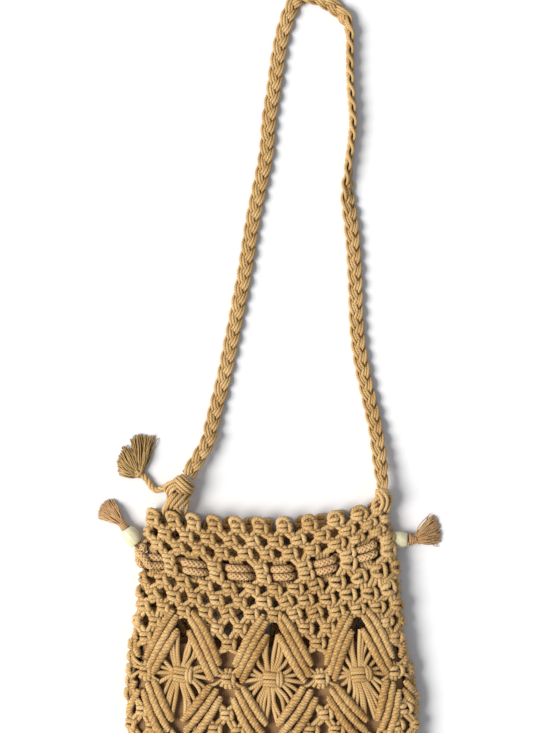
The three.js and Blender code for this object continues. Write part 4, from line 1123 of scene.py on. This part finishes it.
# turns that go round to the tail cord, and the cords that run down into the rim
for points in (
        [(-82, 163, 15), (-89, 162.2, 18), (-95, 160.2, 16.5), (-99.5, 157, 12), (-99.5, 152.5, 8)],
        [(-84, 160, 18), (-90, 159, 20.5), (-95, 156.2, 18.5), (-97.5, 152, 14.5), (-96.5, 148, 9)],
        [(-86, 157, 19), (-90.5, 155.6, 22), (-94, 152.6, 20), (-94.8, 148.5, 16.5), (-93, 145.5, 11)],
        [(-77, 152, 13), (-79.5, 149.5, 19), (-84.5, 144, 22), (-89.5, 138.5, 20), (-92, 133, 14)],
        [(-80, 155, 16), (-83.5, 151, 20.5), (-88.5, 145.5, 23), (-93, 140, 21), (-95.5, 134.5, 14)],
        [(-90, 153, 16), (-93.5, 148, 20), (-98, 141.5, 20), (-101, 135.5, 17), (-101.5, 130, 11)],
        [(-87, 153, 17), (-90.5, 148.5, 20.5), (-95, 143, 21), (-98.5, 137, 18), (-99, 131, 12)],
        [(-96, 151, 12), (-96.5, 146, 16.5), (-93, 140.5, 19), (-88, 136, 19), (-84.5, 130, 14)],
        [(-75.5, 152, 10), (-77.5, 146.5, 16), (-81.5, 141, 18.5), (-86, 136, 18), (-89, 130, 12)],
        [(-79, 149, 12), (-78.5, 142.5, 15.5), (-79.5, 136.5, 16), (-81.5, 130, 12)]):
    left_paths.append(thick_cord(points, knot_cord))
right_paths = ball_of_cord(right_knot, (15, 18, 16), right_ways, knot_cord, 3.4, 9)
for points in (
        [(107, 156, 11), (110.7, 152, 15), (114.6, 145.5, 16), (113, 136, 15), (109.3, 130, 9)],
        [(104, 155, 13), (108, 151.5, 19), (111.3, 144.5, 20.5), (109.8, 136.5, 18), (105.5, 131, 11)],
        [(101.5, 153, 14), (105, 149, 20.5), (107.2, 142.5, 22), (105.2, 136, 19), (101, 132, 12)],
        [(98.3, 136, 11), (98.6, 141.5, 17), (101.6, 145.6, 20), (104.6, 146.4, 20), (107, 148.5, 17)]):
    right_paths.append(thick_cord(points, 1.95))
for label, paths in (("left", left_paths), ("right", right_paths)):
    piece = cord_piece("wound_knot_" + label, paths, cord_finish, sides=8)
    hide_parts("strap_knot_" + label)


# Light and floor. The floor is a near-white studio sweep, and a large soft light stands high on the left.
floor = bpy.data.objects.new("floor", bpy.data.meshes.new("floor"))
floor.data.from_pydata([(-4, -4, 0), (4, -4, 0), (4, 4, 0), (-4, 4, 0)], [], [(0, 1, 2, 3)])
bpy.context.collection.objects.link(floor)
paper = bpy.data.materials.new("matt white paper")
paper.use_nodes = True
paper.node_tree.nodes["Principled BSDF"].inputs["Base Color"].default_value = linear("#f4f4f6")
paper.node_tree.nodes["Principled BSDF"].inputs["Roughness"].default_value = 0.9
floor.data.materials.append(paper)
sun = bpy.data.objects.new("soft light", bpy.data.lights.new("soft light", "SUN"))
sun.data.energy = 3.68
sun.data.angle = math.radians(32)
sun.data.color = (1.0, 0.97, 0.92)
sun.rotation_euler = (math.radians(9), math.radians(-43), 0)
bpy.context.collection.objects.link(sun)
world = bpy.data.worlds.new("studio")
world.use_nodes = True
world.node_tree.nodes["Background"].inputs["Color"].default_value = (0.86, 0.92, 1.0, 1)
world.node_tree.nodes["Background"].inputs["Strength"].default_value = 0.36
bpy.context.scene.world = world
bpy.context.scene.view_settings.view_transform = "Standard"
